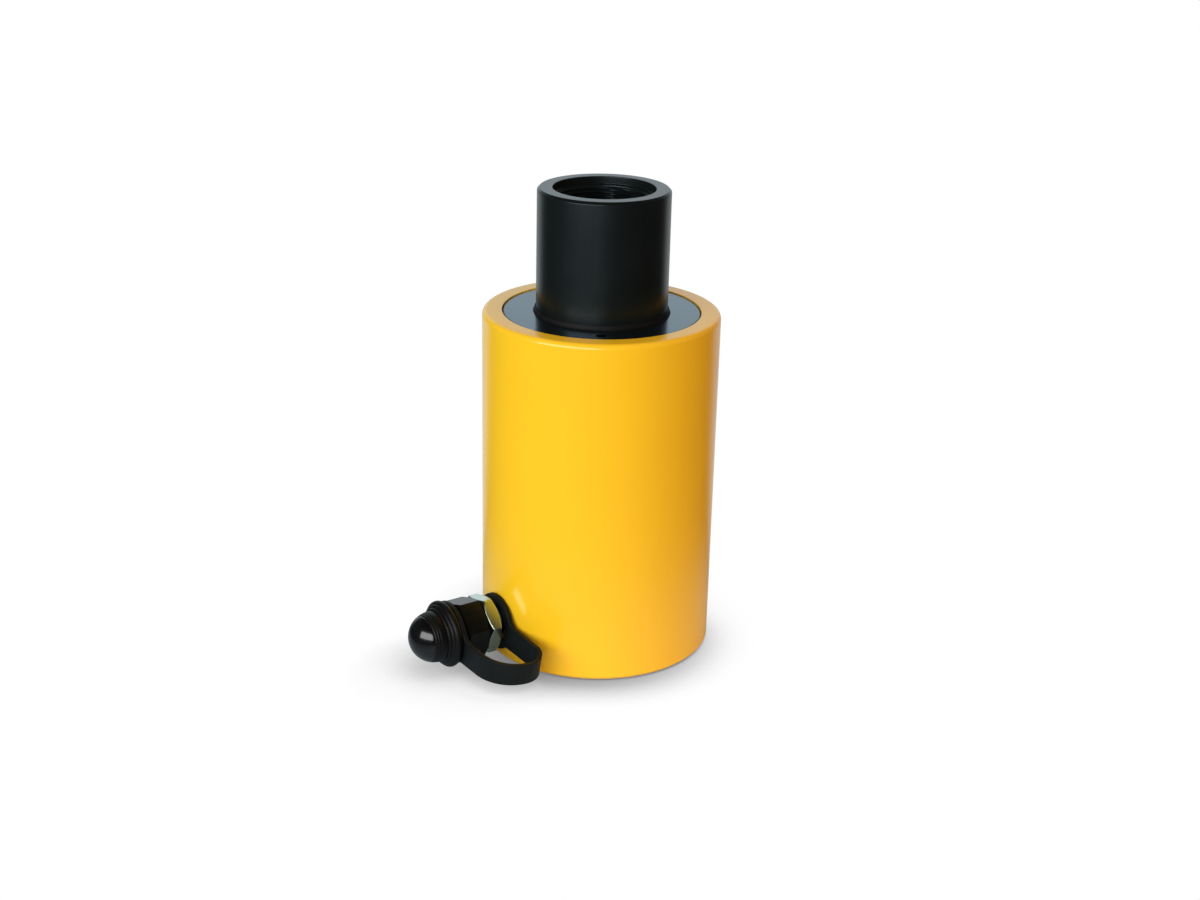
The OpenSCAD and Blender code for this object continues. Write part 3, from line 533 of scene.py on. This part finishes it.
marks = add(tree, "ShaderNodeBump", {},
            {"Height": rings.outputs["Fac"], "Strength": 0.03, "Distance": 0.0001})
oxide = add(tree, "ShaderNodeBsdfPrincipled", {},
            {"Base Color": tone.outputs["Result"], "Metallic": 0.9,
             "Roughness": rub.outputs["Result"], "Normal": marks.outputs["Normal"]})
add(tree, "ShaderNodeOutputMaterial", {}, {"Surface": oxide.outputs["BSDF"]})

# Bearing bronze: warm metal, dulled, with turning rings drawn 0.4 mm apart.
bronze, tree, place = surface("turned bearing bronze")
rings = add(tree, "ShaderNodeTexWave", {"wave_type": "BANDS", "bands_direction": "Z"},
            {"Vector": place, "Scale": BAND / 0.0004, "Distortion": 1.0})
tone = add(tree, "ShaderNodeMix", {"data_type": "RGBA"},
           {"Factor": rings.outputs["Fac"], "A": linear("#A9793A"), "B": linear("#B98A48")})
marks = add(tree, "ShaderNodeBump", {},
            {"Height": rings.outputs["Fac"], "Strength": 0.1, "Distance": 0.0001})
metal = add(tree, "ShaderNodeBsdfPrincipled", {},
            {"Base Color": tone.outputs["Result"], "Metallic": 1.0, "Roughness": 0.35,
             "Normal": marks.outputs["Normal"]})
add(tree, "ShaderNodeOutputMaterial", {}, {"Surface": metal.outputs["BSDF"]})

GLAND_R, GLAND_TOP, GLAND_CHAMFER, GLAND_BORE_R = 47.5, 168.5, 0.8, 31.8
SLEEVE_R, SLEEVE_END, BUSH_R, BUSH_LOW, BUSH_HIGH = 34.35, 152.05, 34.1, 153.2, 160.3
WIPER_R, WIPER_LOW, WIPER_HIGH, LIP_HOLE_R = 35.6, 162.45, 166.9, 32.7
PIN_R, PIN_LOW, PIN_RING, PIN_TURN = 2.5, 162.5, 41, -35
gland = placed("gland_nut_blackened", turned([
    (SLEEVE_R, GLAND_SEAT), (GLAND_R, GLAND_SEAT, 0.4), (GLAND_R, GLAND_TOP - GLAND_CHAMFER, 0.3),
    (GLAND_R - GLAND_CHAMFER, GLAND_TOP, 0.3), (LIP_HOLE_R, GLAND_TOP, 0.2),
    (LIP_HOLE_R, WIPER_HIGH), (WIPER_R, WIPER_HIGH), (WIPER_R, WIPER_LOW),
    (GLAND_BORE_R, WIPER_LOW), (GLAND_BORE_R, BUSH_HIGH), (BUSH_R, BUSH_HIGH), (BUSH_R, BUSH_LOW),
    (GLAND_BORE_R, BUSH_LOW), (GLAND_BORE_R, SLEEVE_END), (SLEEVE_R, SLEEVE_END)]))
pin_drills = [
    placed("pin_drill", rod(PIN_R, PIN_LOW, GLAND_TOP + 0.5, 48),
           Matrix.Rotation(math.radians(PIN_TURN + side), 4, "Z")
           @ Matrix.Translation((PIN_RING * MM, 0, 0))) for side in (0, 180)]
carved(gland, "DIFFERENCE", *pin_drills)
settled(smoothed(gland), black_oxide)
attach(gland, "barrel")
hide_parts("gland_nut")
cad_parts["guide_bush"].data.materials[0] = bronze
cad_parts["stop_sleeve"].data.materials[0] = ground_steel

# Plunger wiper: a moulded rubber ring snapped in under the gland's edge.
# Its thin lip stands above the gland and scrapes the plunger clean.
RING_R, LIP_R, LIP_TOP, SCRAPER_R = 35.55, 32.65, 170.5, 31.56
wiper = placed("plunger_wiper_moulded", turned([
    (32.1, 162.5), (RING_R, 162.5, 0.3), (RING_R, 166.85), (LIP_R, 166.85), (LIP_R, GLAND_TOP),
    (32.1, LIP_TOP, 0.25), (SCRAPER_R, LIP_TOP, 0.15), (SCRAPER_R, LIP_TOP - 1), (32.1, 165.5)]))
settled(smoothed(wiper, 50), nitrile)
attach(wiper, "barrel")
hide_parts("plunger_wiper")

# Port adapter: a hexagon nipple milled from bar, zinc plated and passivated.
# It is screwed into the body, and an oil passage is drilled through it.


def hexagon(across, start, end, turn, soft):
    """A hexagon bar along the port with rounded long edges and its ends chamfered like a nut's."""
    corner = across / math.cos(math.radians(30)) / 2
    face = across * 0.48  # radius of the flat end inside its chamfer
    outer = corner + 1
    rise = (outer - face) * math.tan(math.radians(30))
    angles = [k * math.pi / 3 for k in range(6)]
    section = softened([(corner * math.cos(a), corner * math.sin(a), soft) for a in angles])
    bar = bmesh.new()
    low, high = [[bar.verts.new((x * MM, y * MM, z * MM)) for x, y in section]
                 for z in (start, end)]
    bar.faces.new(low)
    bar.faces.new(high)
    for k in range(len(section)):
        bar.faces.new((low[k - 1], low[k], high[k], high[k - 1]))
    bmesh.ops.recalc_face_normals(bar, faces=bar.faces)
    blunt = turned([(0, start), (face, start), (outer, start + rise), (outer, end - rise),
                    (face, end), (0, end)], 96)
    made = placed("hexagon", bar, TO_PORT @ Matrix.Rotation(math.radians(turn), 4, "Z"))
    return carved(made, "INTERSECT", placed("hexagon_ends", blunt, TO_PORT))


# Passivated zinc: pale grey metal with a faint green cast in patches, and mill marks drawn 0.5 mm
# apart. Its edges are softened a little more, so that they catch the light.
zinc, tree, place = surface("passivated zinc plate")
patch = add(tree, "ShaderNodeTexNoise", {}, {"Vector": place, "Scale": 1 / 0.007, "Detail": 3.0})
tone = add(tree, "ShaderNodeMix", {"data_type": "RGBA"},
           {"Factor": patch.outputs["Fac"], "A": linear("#C6D3C2"), "B": linear("#BDCEC4")})
mill = add(tree, "ShaderNodeTexWave", {"wave_type": "BANDS", "bands_direction": "Y"},
           {"Vector": place, "Scale": BAND / 0.0005, "Distortion": 2.0, "Detail": 1.0})
rub = add(tree, "ShaderNodeMapRange", {},
          {"Value": patch.outputs["Fac"], "To Min": 0.16, "To Max": 0.24})
rounded = add(tree, "ShaderNodeBevel", {"samples": 6}, {"Radius": 0.0007})
marks = add(tree, "ShaderNodeBump", {},
            {"Height": mill.outputs["Fac"], "Strength": 0.02, "Distance": 0.0001,
             "Normal": rounded.outputs["Normal"]})
plate = add(tree, "ShaderNodeBsdfPrincipled", {},
            {"Base Color": tone.outputs["Result"], "Metallic": 1.0,
             "Roughness": rub.outputs["Result"], "Normal": marks.outputs["Normal"]})
add(tree, "ShaderNodeOutputMaterial", {}, {"Surface": plate.outputs["BSDF"]})

SHANK_R, SPIGOT_R = 8.3, 8
adapter = hexagon(across=26, start=63.2, end=70, turn=11, soft=0.7)
adapter.name = "port_adapter_plated"
shank = placed("adapter_shank", turned([
    (0, 46.5), (SHANK_R, 46.5, 0.6), (SHANK_R, 66), (SPIGOT_R, 66), (SPIGOT_R, 78, 0.6),
    (0, 78)], 96), TO_PORT)
bore = placed("adapter_bore", rod(OIL_R, 45, 80, 48), TO_PORT)
carved(adapter, "UNION", shank)
carved(adapter, "DIFFERENCE", bore)
settled(smoothed(adapter, 25), zinc)
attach(adapter, "barrel")
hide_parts("port_adapter")

# Coupler body: a hexagon of blackened steel screwed onto the adapter, with a threaded nose for
# the hose's collar and a rubber ring in its mouth.
# Lacquered black: a thin clear film over black oxide, with faint mill marks drawn 0.5 mm apart.
coupler_black, tree, place = surface("lacquered black oxide")
mill = add(tree, "ShaderNodeTexWave", {"wave_type": "BANDS", "bands_direction": "Y"},
           {"Vector": place, "Scale": BAND / 0.0005, "Distortion": 3.0, "Detail": 1.0})
film = add(tree, "ShaderNodeTexNoise", {}, {"Vector": place, "Scale": 1 / 0.006, "Detail": 3.0})
tone = add(tree, "ShaderNodeMix", {"data_type": "RGBA"},
           {"Factor": film.outputs["Fac"], "A": linear("#080A0A"), "B": linear("#0E1111")})
rub = add(tree, "ShaderNodeMapRange", {},
          {"Value": film.outputs["Fac"], "To Min": 0.12, "To Max": 0.2})
marks = add(tree, "ShaderNodeBump", {},
            {"Height": mill.outputs["Fac"], "Strength": 0.02, "Distance": 0.0001})
lacquer = add(tree, "ShaderNodeBsdfPrincipled", {},
              {"Base Color": tone.outputs["Result"], "Roughness": rub.outputs["Result"], "IOR": 1.5,
               "Specular IOR Level": 0.25, "Normal": marks.outputs["Normal"]})
add(tree, "ShaderNodeOutputMaterial", {}, {"Surface": lacquer.outputs["BSDF"]})

NOSE_R, NOSE_LOW, NOSE_HIGH, NOSE_END, MOUTH_BORE_R = 9.3, 84.6, 96.2, 97, 6.3
SEAT_R, CHAMBER_R, SOCKET_R, HEX_END = 4.6, 6.6, 8.1, 82
nose_shape = turned([
    (SOCKET_R, 70.3), (9, 70.3), (9, HEX_END), (NOSE_R, HEX_END), (NOSE_R, NOSE_LOW),
    (NOSE_R, NOSE_HIGH), (8.9, NOSE_END, 0.2), (MOUTH_BORE_R, NOSE_END, 0.3), (MOUTH_BORE_R, 95.75),
    (7.2, 95.75), (7.2, 93.85), (MOUTH_BORE_R, 93.85), (MOUTH_BORE_R, 92.6), (SEAT_R, 92.6, 0.2),
    (SEAT_R, 91.4), (CHAMBER_R, 89.4), (CHAMBER_R, 80.2), (SOCKET_R, 80.2)],
    gap=lambda a, b: a[0] == b[0] and abs(a[1] - NOSE_LOW) < 0.01 and abs(b[1] - NOSE_HIGH) < 0.01)
nose = threaded("coupler_nose", nose_shape, coupler_black, radius=NOSE_R, depth=0.7, pitch=1.5,
                start=NOSE_LOW, end=NOSE_HIGH, turn=TO_PORT)
coupler = hexagon(across=27, start=70.3, end=82.6, turn=15, soft=0.5)
coupler.name = "coupler_body_blackened"
hex_bore = placed("coupler_bore", rod(8.5, 68, 85, 96), TO_PORT)
carved(coupler, "DIFFERENCE", hex_bore)
settled(smoothed(coupler, 25), coupler_black)
settled(smoothed(nose), coupler_black)
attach(coupler, "barrel")
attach(nose, "barrel")
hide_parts("coupler_body")
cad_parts["coupler_seal"].data.materials[0] = nitrile

# Check valve: a steel poppet held shut by a small spring on a drilled disc.
# A hose's probe pushes it in when the coupler is joined.
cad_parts["valve_guide"].data.materials[0] = ground_steel
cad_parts["valve_poppet"].data.materials[0] = ground_steel
valve_coil = coiled("valve_spring_coil", mid_radius=4.4, turns=3.5, low=80.15, high=86.55,
                    wire_d=0.8, sides=12, turn=TO_PORT)
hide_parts("valve_spring")
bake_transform(valve_coil)

# Dust cap: a moulded plastic dome with a ringed flange, pushed over the coupler's nose.
# Three fine grooves run round the dome beside the rings.
# Moulded polyethylene: deep black with a wet-looking gloss and soft waviness, matt at the rings.


def arc(centre, radius, first, last, steps):
    """Points of a half outline along part of a circle, between two angles in degrees."""
    angles = [math.radians(first + (last - first) * k / steps) for k in range(steps + 1)]
    return [(centre[0] + radius * math.cos(a), centre[1] + radius * math.sin(a)) for a in angles]


DOME_EDGE, RINGS_EDGE = -0.1, -0.0985  # metres along Y between which the gloss turns matt
cap_gloss, tree, place = surface("glossy moulded polyethylene")
wave = add(tree, "ShaderNodeTexNoise", {}, {"Vector": place, "Scale": 1 / 0.009, "Detail": 1.0})
tone = add(tree, "ShaderNodeMix", {"data_type": "RGBA"},
           {"Factor": wave.outputs["Fac"], "A": linear("#050607"), "B": linear("#0B0C0E")})
rub = add(tree, "ShaderNodeMapRange", {},
          {"Value": wave.outputs["Fac"], "To Min": 0.12, "To Max": 0.18})
along = add(tree, "ShaderNodeSeparateXYZ", {}, {"Vector": place})
matt_rings = add(tree, "ShaderNodeMapRange", {},
                 {"Value": along.outputs["Y"], "From Min": DOME_EDGE, "From Max": RINGS_EDGE,
                  "To Min": 0.0, "To Max": 0.45})
finish = add(tree, "ShaderNodeMath", {"operation": "MAXIMUM"},
             {0: rub.outputs["Result"], 1: matt_rings.outputs["Result"]})
sheen = add(tree, "ShaderNodeMapRange", {},
            {"Value": along.outputs["Y"], "From Min": DOME_EDGE, "From Max": RINGS_EDGE,
             "To Min": 0.55, "To Max": 0.2})
flow = add(tree, "ShaderNodeBump", {},
           {"Height": wave.outputs["Fac"], "Strength": 0.06, "Distance": 0.0005})
moulded = add(tree, "ShaderNodeBsdfPrincipled", {},
              {"Base Color": tone.outputs["Result"], "Roughness": finish.outputs[0], "IOR": 1.51,
               "Specular IOR Level": sheen.outputs["Result"], "Normal": flow.outputs["Normal"]})
add(tree, "ShaderNodeOutputMaterial", {}, {"Surface": moulded.outputs["BSDF"]})

DOME_MID, DOME_R, HOLLOW_R, SKIRT_R, FLANGE_R = 93.7, 12.4, 10.2, 10.3, 13.4
DOME_STEPS, DOME_START = 96, -4.6
GROOVE_DEPTH, GROOVE_HALF, GROOVE_TILTS = 0.2, 0.028, (12, 18, 24)  # half width in radians
dome = []
for k in range(DOME_STEPS + 1):
    tilt = math.radians(DOME_START + (90 - DOME_START) * k / DOME_STEPS)
    dip = sum(math.exp(-((tilt - math.radians(mid)) / GROOVE_HALF) ** 2) for mid in GROOVE_TILTS)
    reach = DOME_R - GROOVE_DEPTH * min(dip, 1)
    dome.append((reach * math.cos(tilt) if k < DOME_STEPS else 0.0,
                 DOME_MID + reach * math.sin(tilt)))
cap_outline = (
    [(SKIRT_R, 82.9, 0.2), (FLANGE_R, 82.9, 0.25), (FLANGE_R, 83.6, 0.25), (DOME_R, 83.6, 0.15),
     (DOME_R, 86.3, 0.3)]
    + arc((14.3, 88.3), 2.0, -90, 73, 16) + arc((13.4, 90.0), 1.5, 8, 87, 9)
    + arc((12.5, 91.7), 1.0, -11, 90, 9) + dome
    + [(0.0, DOME_MID + HOLLOW_R)] + arc((0, DOME_MID), HOLLOW_R, 90, 21, 12)[1:]
    + [(SKIRT_R, 97.3)])
cap = placed("dust_cap_moulded", turned(cap_outline, 160), TO_PORT)
settled(smoothed(cap, 50), cap_gloss)
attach(cap, "cap")
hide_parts("dust_cap")

# Cap strap: one flat flexible moulding, looped between an eyelet behind the adapter's hexagon
# and a ring that snaps behind the cap's flange.
# Moulded vinyl: satin black, with a fine matt texture from the mould.
strap_vinyl, tree, place = surface("satin moulded vinyl")
cloud = add(tree, "ShaderNodeTexNoise", {}, {"Vector": place, "Scale": 1 / 0.01, "Detail": 2.0})
tone = add(tree, "ShaderNodeMix", {"data_type": "RGBA"},
           {"Factor": cloud.outputs["Fac"], "A": linear("#0F1416"), "B": linear("#161B1D")})
grain = add(tree, "ShaderNodeTexNoise", {}, {"Vector": place, "Scale": 1 / 0.0005, "Detail": 2.0})
grain_bump = add(tree, "ShaderNodeBump", {},
                 {"Height": grain.outputs["Fac"], "Strength": 0.1, "Distance": 0.0001})
rub = add(tree, "ShaderNodeMapRange", {},
          {"Value": cloud.outputs["Fac"], "To Min": 0.4, "To Max": 0.48})
vinyl = add(tree, "ShaderNodeBsdfPrincipled", {},
            {"Base Color": tone.outputs["Result"], "Roughness": rub.outputs["Result"], "IOR": 1.5,
             "Specular IOR Level": 0.1, "Normal": grain_bump.outputs["Normal"]})
add(tree, "ShaderNodeOutputMaterial", {}, {"Surface": vinyl.outputs["BSDF"]})

EDGE_R = 0.3
strap_shape = bmesh.new()
strap_shape.from_mesh(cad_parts["cap_strap"].data)
bmesh.ops.remove_doubles(strap_shape, verts=strap_shape.verts, dist=WELD)
bmesh.ops.dissolve_limit(strap_shape, angle_limit=math.radians(0.5), verts=strap_shape.verts,
                         edges=strap_shape.edges)
strap = placed("cap_strap_moulded", strap_shape)
edge = strap.modifiers.new("edge", "BEVEL")
edge.width, edge.segments, edge.use_clamp_overlap = EDGE_R * MM, 2, True
edge.limit_method, edge.angle_limit = "ANGLE", math.radians(25)
settled(smoothed(strap), strap_vinyl)
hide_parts("cap_strap")
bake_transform(strap)

# Studio: a white floor and a white backdrop behind the object in an otherwise dark room, as the
# photograph's reflections show, with one wide softbox at the left, and the camera.
CAMERA_AZ, CAMERA_EL, CAMERA_ROLL = 55, 21.06, 1.34  # degrees
CAMERA_AIM, CAMERA_DISTANCE = Vector((0.0004, 0.0006, 0.0970)), 0.867  # metres
WHITE = (1, 1, 1, 1)


def outward(azimuth, elevation):
    """The direction from the object to a place at these angles in degrees."""
    a, e = math.radians(azimuth), math.radians(elevation)
    return Vector((math.sin(a) * math.cos(e), -math.cos(a) * math.cos(e), math.sin(e)))


behind = -outward(CAMERA_AZ, 0)

# The floor is seen as white with a painted soft shadow where pieces come near it, drawn from
# ambient
# occlusion and not cast by the lamp: a wide one that leans back and to the left, and a closer one
# along the base's front. Reflections see a painted pool of light close to the object and behind it,
# dimmed by the wide painted shadow, and dark elsewhere. Light bounced off the floor is a painted
# pool too, bright near the object and dim further out.
floor_with_painted_light, tree, place = surface("white studio floor with painted light and shadow")
ray = add(tree, "ShaderNodeLightPath")
seen = add(tree, "ShaderNodeMath", {"operation": "MAXIMUM"},
           {0: ray.outputs["Is Camera Ray"], 1: ray.outputs["Is Transmission Ray"]})
# Painted shadow: two ambient occlusion lookups in fixed leaning directions darken the white that
# the camera sees.
leaning = add(tree, "ShaderNodeCombineXYZ", {}, {"X": 0.67, "Y": 0.04, "Z": 0.74})
open_sky = add(tree, "ShaderNodeAmbientOcclusion", {"samples": 8},
               {"Distance": 0.036, "Normal": leaning.outputs["Vector"]})
bearing = add(tree, "ShaderNodeVectorMath", {"operation": "NORMALIZE"}, {0: place})
rearward = add(tree, "ShaderNodeVectorMath", {"operation": "DOT_PRODUCT"},
               {0: bearing.outputs["Vector"], 1: behind})
# The painted shadow is kept fainter towards the back.
painted_shadow_rear_fade = add(tree, "ShaderNodeMapRange", {},
                {"Value": rearward.outputs["Value"], "From Min": -0.3, "From Max": 0.3,
                 "To Min": 0.5, "To Max": 0.85})
painted_halo_shadow = add(tree, "ShaderNodeMapRange", {},
           {"Value": open_sky.outputs["AO"], "From Min": 0.5, "From Max": 0.93,
            "To Min": painted_shadow_rear_fade.outputs["Result"], "To Max": 1.0})
facing = add(tree, "ShaderNodeCombineXYZ", {}, {"X": -0.54, "Y": 0.62, "Z": 0.57})
open_edge = add(tree, "ShaderNodeAmbientOcclusion", {"samples": 8},
                {"Distance": 0.03, "Normal": facing.outputs["Vector"]})
distance = add(tree, "ShaderNodeVectorMath", {"operation": "LENGTH"}, {0: place})
clear_of_base = add(tree, "ShaderNodeMapRange", {},
                    {"Value": distance.outputs["Value"], "From Min": 0.062, "From Max": 0.09,
                     "To Min": 0.4, "To Max": 1.0})
painted_contact_shadow = add(tree, "ShaderNodeMapRange", {},
              {"Value": open_edge.outputs["AO"], "From Min": 0.3, "From Max": 0.93,
               "To Min": clear_of_base.outputs["Result"], "To Max": 1.0})
painted_shadow = add(tree, "ShaderNodeMath", {"operation": "MULTIPLY"},
             {0: painted_halo_shadow.outputs["Result"], 1: painted_contact_shadow.outputs["Result"]})
white_with_painted_shadow = add(tree, "ShaderNodeEmission", {}, {"Color": WHITE, "Strength": painted_shadow.outputs[0]})
# Painted reflection: reflections see a painted pool of light near the object and a painted bright
# band behind it, dimmed by the wide painted shadow and tinted cool.
close = add(tree, "ShaderNodeMapRange", {"interpolation_type": "SMOOTHSTEP"},
            {"Value": distance.outputs["Value"], "From Min": 0.07, "From Max": 0.22,
             "To Min": 0.8, "To Max": 0.07})
painted_light_rear = add(tree, "ShaderNodeMapRange", {"interpolation_type": "SMOOTHSTEP"},
               {"Value": rearward.outputs["Value"], "From Min": 0.5, "From Max": 0.8,
                "To Min": 0.0, "To Max": 1.4})
painted_reflected_light = add(tree, "ShaderNodeMath", {"operation": "MAXIMUM"},
                    {0: close.outputs["Result"], 1: painted_light_rear.outputs["Result"]})
painted_shaded_reflection = add(tree, "ShaderNodeMath", {"operation": "MULTIPLY"},
                  {0: painted_reflected_light.outputs[0], 1: painted_halo_shadow.outputs["Result"]})
cool_painted_reflection = add(tree, "ShaderNodeVectorMath", {"operation": "SCALE"},
                {0: (0.68, 0.96, 1.2), "Scale": painted_shaded_reflection.outputs[0]})
# Painted pool of light: the floor bounces light as if it were bright near the object and dim
# further out.
sheet = add(tree, "ShaderNodeMapRange", {"interpolation_type": "SMOOTHSTEP"},
            {"Value": distance.outputs["Value"], "From Min": 0.12, "From Max": 0.36,
             "To Min": 0.9, "To Max": 0.1})
painted_floor_light = add(tree, "ShaderNodeMix", {"data_type": "RGBA"},
                 {"Factor": ray.outputs["Is Glossy Ray"], "A": sheet.outputs["Result"],
                  "B": cool_painted_reflection.outputs["Vector"]})
paper = add(tree, "ShaderNodeBsdfDiffuse", {}, {"Color": painted_floor_light.outputs["Result"]})
shown = add(tree, "ShaderNodeMixShader", {},
            {0: seen.outputs[0], 1: paper.outputs[0], 2: white_with_painted_shadow.outputs[0]})
add(tree, "ShaderNodeOutputMaterial", {}, {"Surface": shown.outputs[0]})
floor_shape = bmesh.new()
bmesh.ops.create_grid(floor_shape, x_segments=1, y_segments=1, size=6)
floor = placed("studio_floor", floor_shape, Matrix.Translation((0, 0, -0.0002)))
floor.data.materials.append(floor_with_painted_light)

# The room is white to the camera. It gives a warm fill that is strongest at the right, with a low
# white wall behind, and in reflections a cool white backdrop behind the object that fades upwards.
world = bpy.data.worlds.new("white studio")
bpy.context.scene.world = world
world.use_nodes = True
tree = world.node_tree
tree.nodes.clear()
ray = add(tree, "ShaderNodeLightPath")
toward = add(tree, "ShaderNodeTexCoord").outputs["Generated"]
level = add(tree, "ShaderNodeVectorMath", {"operation": "MULTIPLY"}, {0: toward, 1: (1, 1, 0)})
bearing = add(tree, "ShaderNodeVectorMath", {"operation": "NORMALIZE"},
              {0: level.outputs["Vector"]})
rearward = add(tree, "ShaderNodeVectorMath", {"operation": "DOT_PRODUCT"},
               {0: bearing.outputs["Vector"], 1: behind})
backdrop = add(tree, "ShaderNodeMapRange", {"interpolation_type": "SMOOTHSTEP"},
               {"Value": rearward.outputs["Value"], "From Min": 0.7, "From Max": 0.95,
                "To Min": 0.07, "To Max": 1.0})
up = add(tree, "ShaderNodeSeparateXYZ", {}, {"Vector": toward})
fade = add(tree, "ShaderNodeMapRange", {"interpolation_type": "SMOOTHSTEP"},
           {"Value": up.outputs["Z"], "From Min": 0.5, "From Max": 0.85,
            "To Min": 1.0, "To Max": 0.25})
mirrored_light = add(tree, "ShaderNodeMath", {"operation": "MULTIPLY"},
                     {0: backdrop.outputs["Result"], 1: fade.outputs["Result"]})
white = add(tree, "ShaderNodeBackground", {}, {"Color": WHITE, "Strength": 1.0})
mirrored = add(tree, "ShaderNodeBackground", {},
               {"Color": linear("#EDF9FF"), "Strength": mirrored_light.outputs[0]})
rightward = add(tree, "ShaderNodeVectorMath", {"operation": "DOT_PRODUCT"},
                {0: toward, 1: (0.97, 0.24, 0)})
warmth = add(tree, "ShaderNodeMapRange", {"interpolation_type": "SMOOTHSTEP"},
             {"Value": rightward.outputs["Value"], "From Min": 0.2, "From Max": 0.9})
fill_tone = add(tree, "ShaderNodeMix", {"data_type": "RGBA"},
                {"Factor": warmth.outputs["Result"], "A": (0.4, 0.34, 0.28, 1),
                 "B": (1.12, 0.57, 0.33, 1)})
low = add(tree, "ShaderNodeMapRange", {"interpolation_type": "SMOOTHSTEP"},
          {"Value": up.outputs["Z"], "From Min": 0.1, "From Max": 0.4,
           "To Min": 1.0, "To Max": 0.0})
rear_wall = add(tree, "ShaderNodeMath", {"operation": "MULTIPLY"},
                {0: backdrop.outputs["Result"], 1: low.outputs["Result"]})
all_fill = add(tree, "ShaderNodeVectorMath", {"operation": "MULTIPLY_ADD"},
               {0: (2.2, 2.1, 1.6), 1: rear_wall.outputs[0], 2: fill_tone.outputs["Result"]})
fill = add(tree, "ShaderNodeBackground", {}, {"Color": all_fill.outputs["Vector"], "Strength": 1.0})
bounced = add(tree, "ShaderNodeMixShader", {},
              {0: ray.outputs["Is Glossy Ray"], 1: fill.outputs[0], 2: mirrored.outputs[0]})
seen = add(tree, "ShaderNodeMath", {"operation": "MAXIMUM"},
           {0: ray.outputs["Is Camera Ray"], 1: ray.outputs["Is Transmission Ray"]})
around = add(tree, "ShaderNodeMixShader", {},
             {0: seen.outputs[0], 1: bounced.outputs[0], 2: white.outputs[0]})
add(tree, "ShaderNodeOutputWorld", {}, {"Surface": around.outputs[0]})

# The softbox is aimed at the object's middle, with its angles in degrees and lengths in metres.
LAMP_AZ, LAMP_EL, LAMP_DISTANCE, LAMP_AIM = 24, 19, 1.1, Vector((0, 0, 0.09))
lamp = bpy.data.lights.new("softbox_left", "AREA")
lamp.shape, lamp.size, lamp.size_y, lamp.energy = "RECTANGLE", 1.2, 0.5, 10.8
key = bpy.data.objects.new("softbox_left", lamp)
away = outward(LAMP_AZ, LAMP_EL)
key.location = LAMP_AIM + away * LAMP_DISTANCE
key.rotation_mode = "QUATERNION"
key.rotation_quaternion = away.to_track_quat("Z", "Y")
bpy.context.scene.collection.objects.link(key)

# The softbox is flagged off the gland, whose flat top would mirror it as plain white from behind.
flagged = bpy.data.collections.new("flagged off the softbox")
flagged.objects.link(gland)
flagged.collection_objects[0].light_linking.link_state = "EXCLUDE"
key.light_linking.receiver_collection = flagged

lens = bpy.data.cameras.new("camera")
lens.sensor_width, lens.lens = 36.0, 52.86
camera = bpy.data.objects.new("camera", lens)
bpy.context.scene.collection.objects.link(camera)
back = outward(CAMERA_AZ, CAMERA_EL)
camera.location = CAMERA_AIM + back * CAMERA_DISTANCE
camera.rotation_mode = "QUATERNION"
camera.rotation_quaternion = ((-back).to_track_quat("-Z", "Y").to_matrix()
                              @ Matrix.Rotation(math.radians(CAMERA_ROLL), 3, "Z")).to_quaternion()
bpy.context.scene.camera = camera
bpy.context.scene.view_settings.view_transform = "Standard"
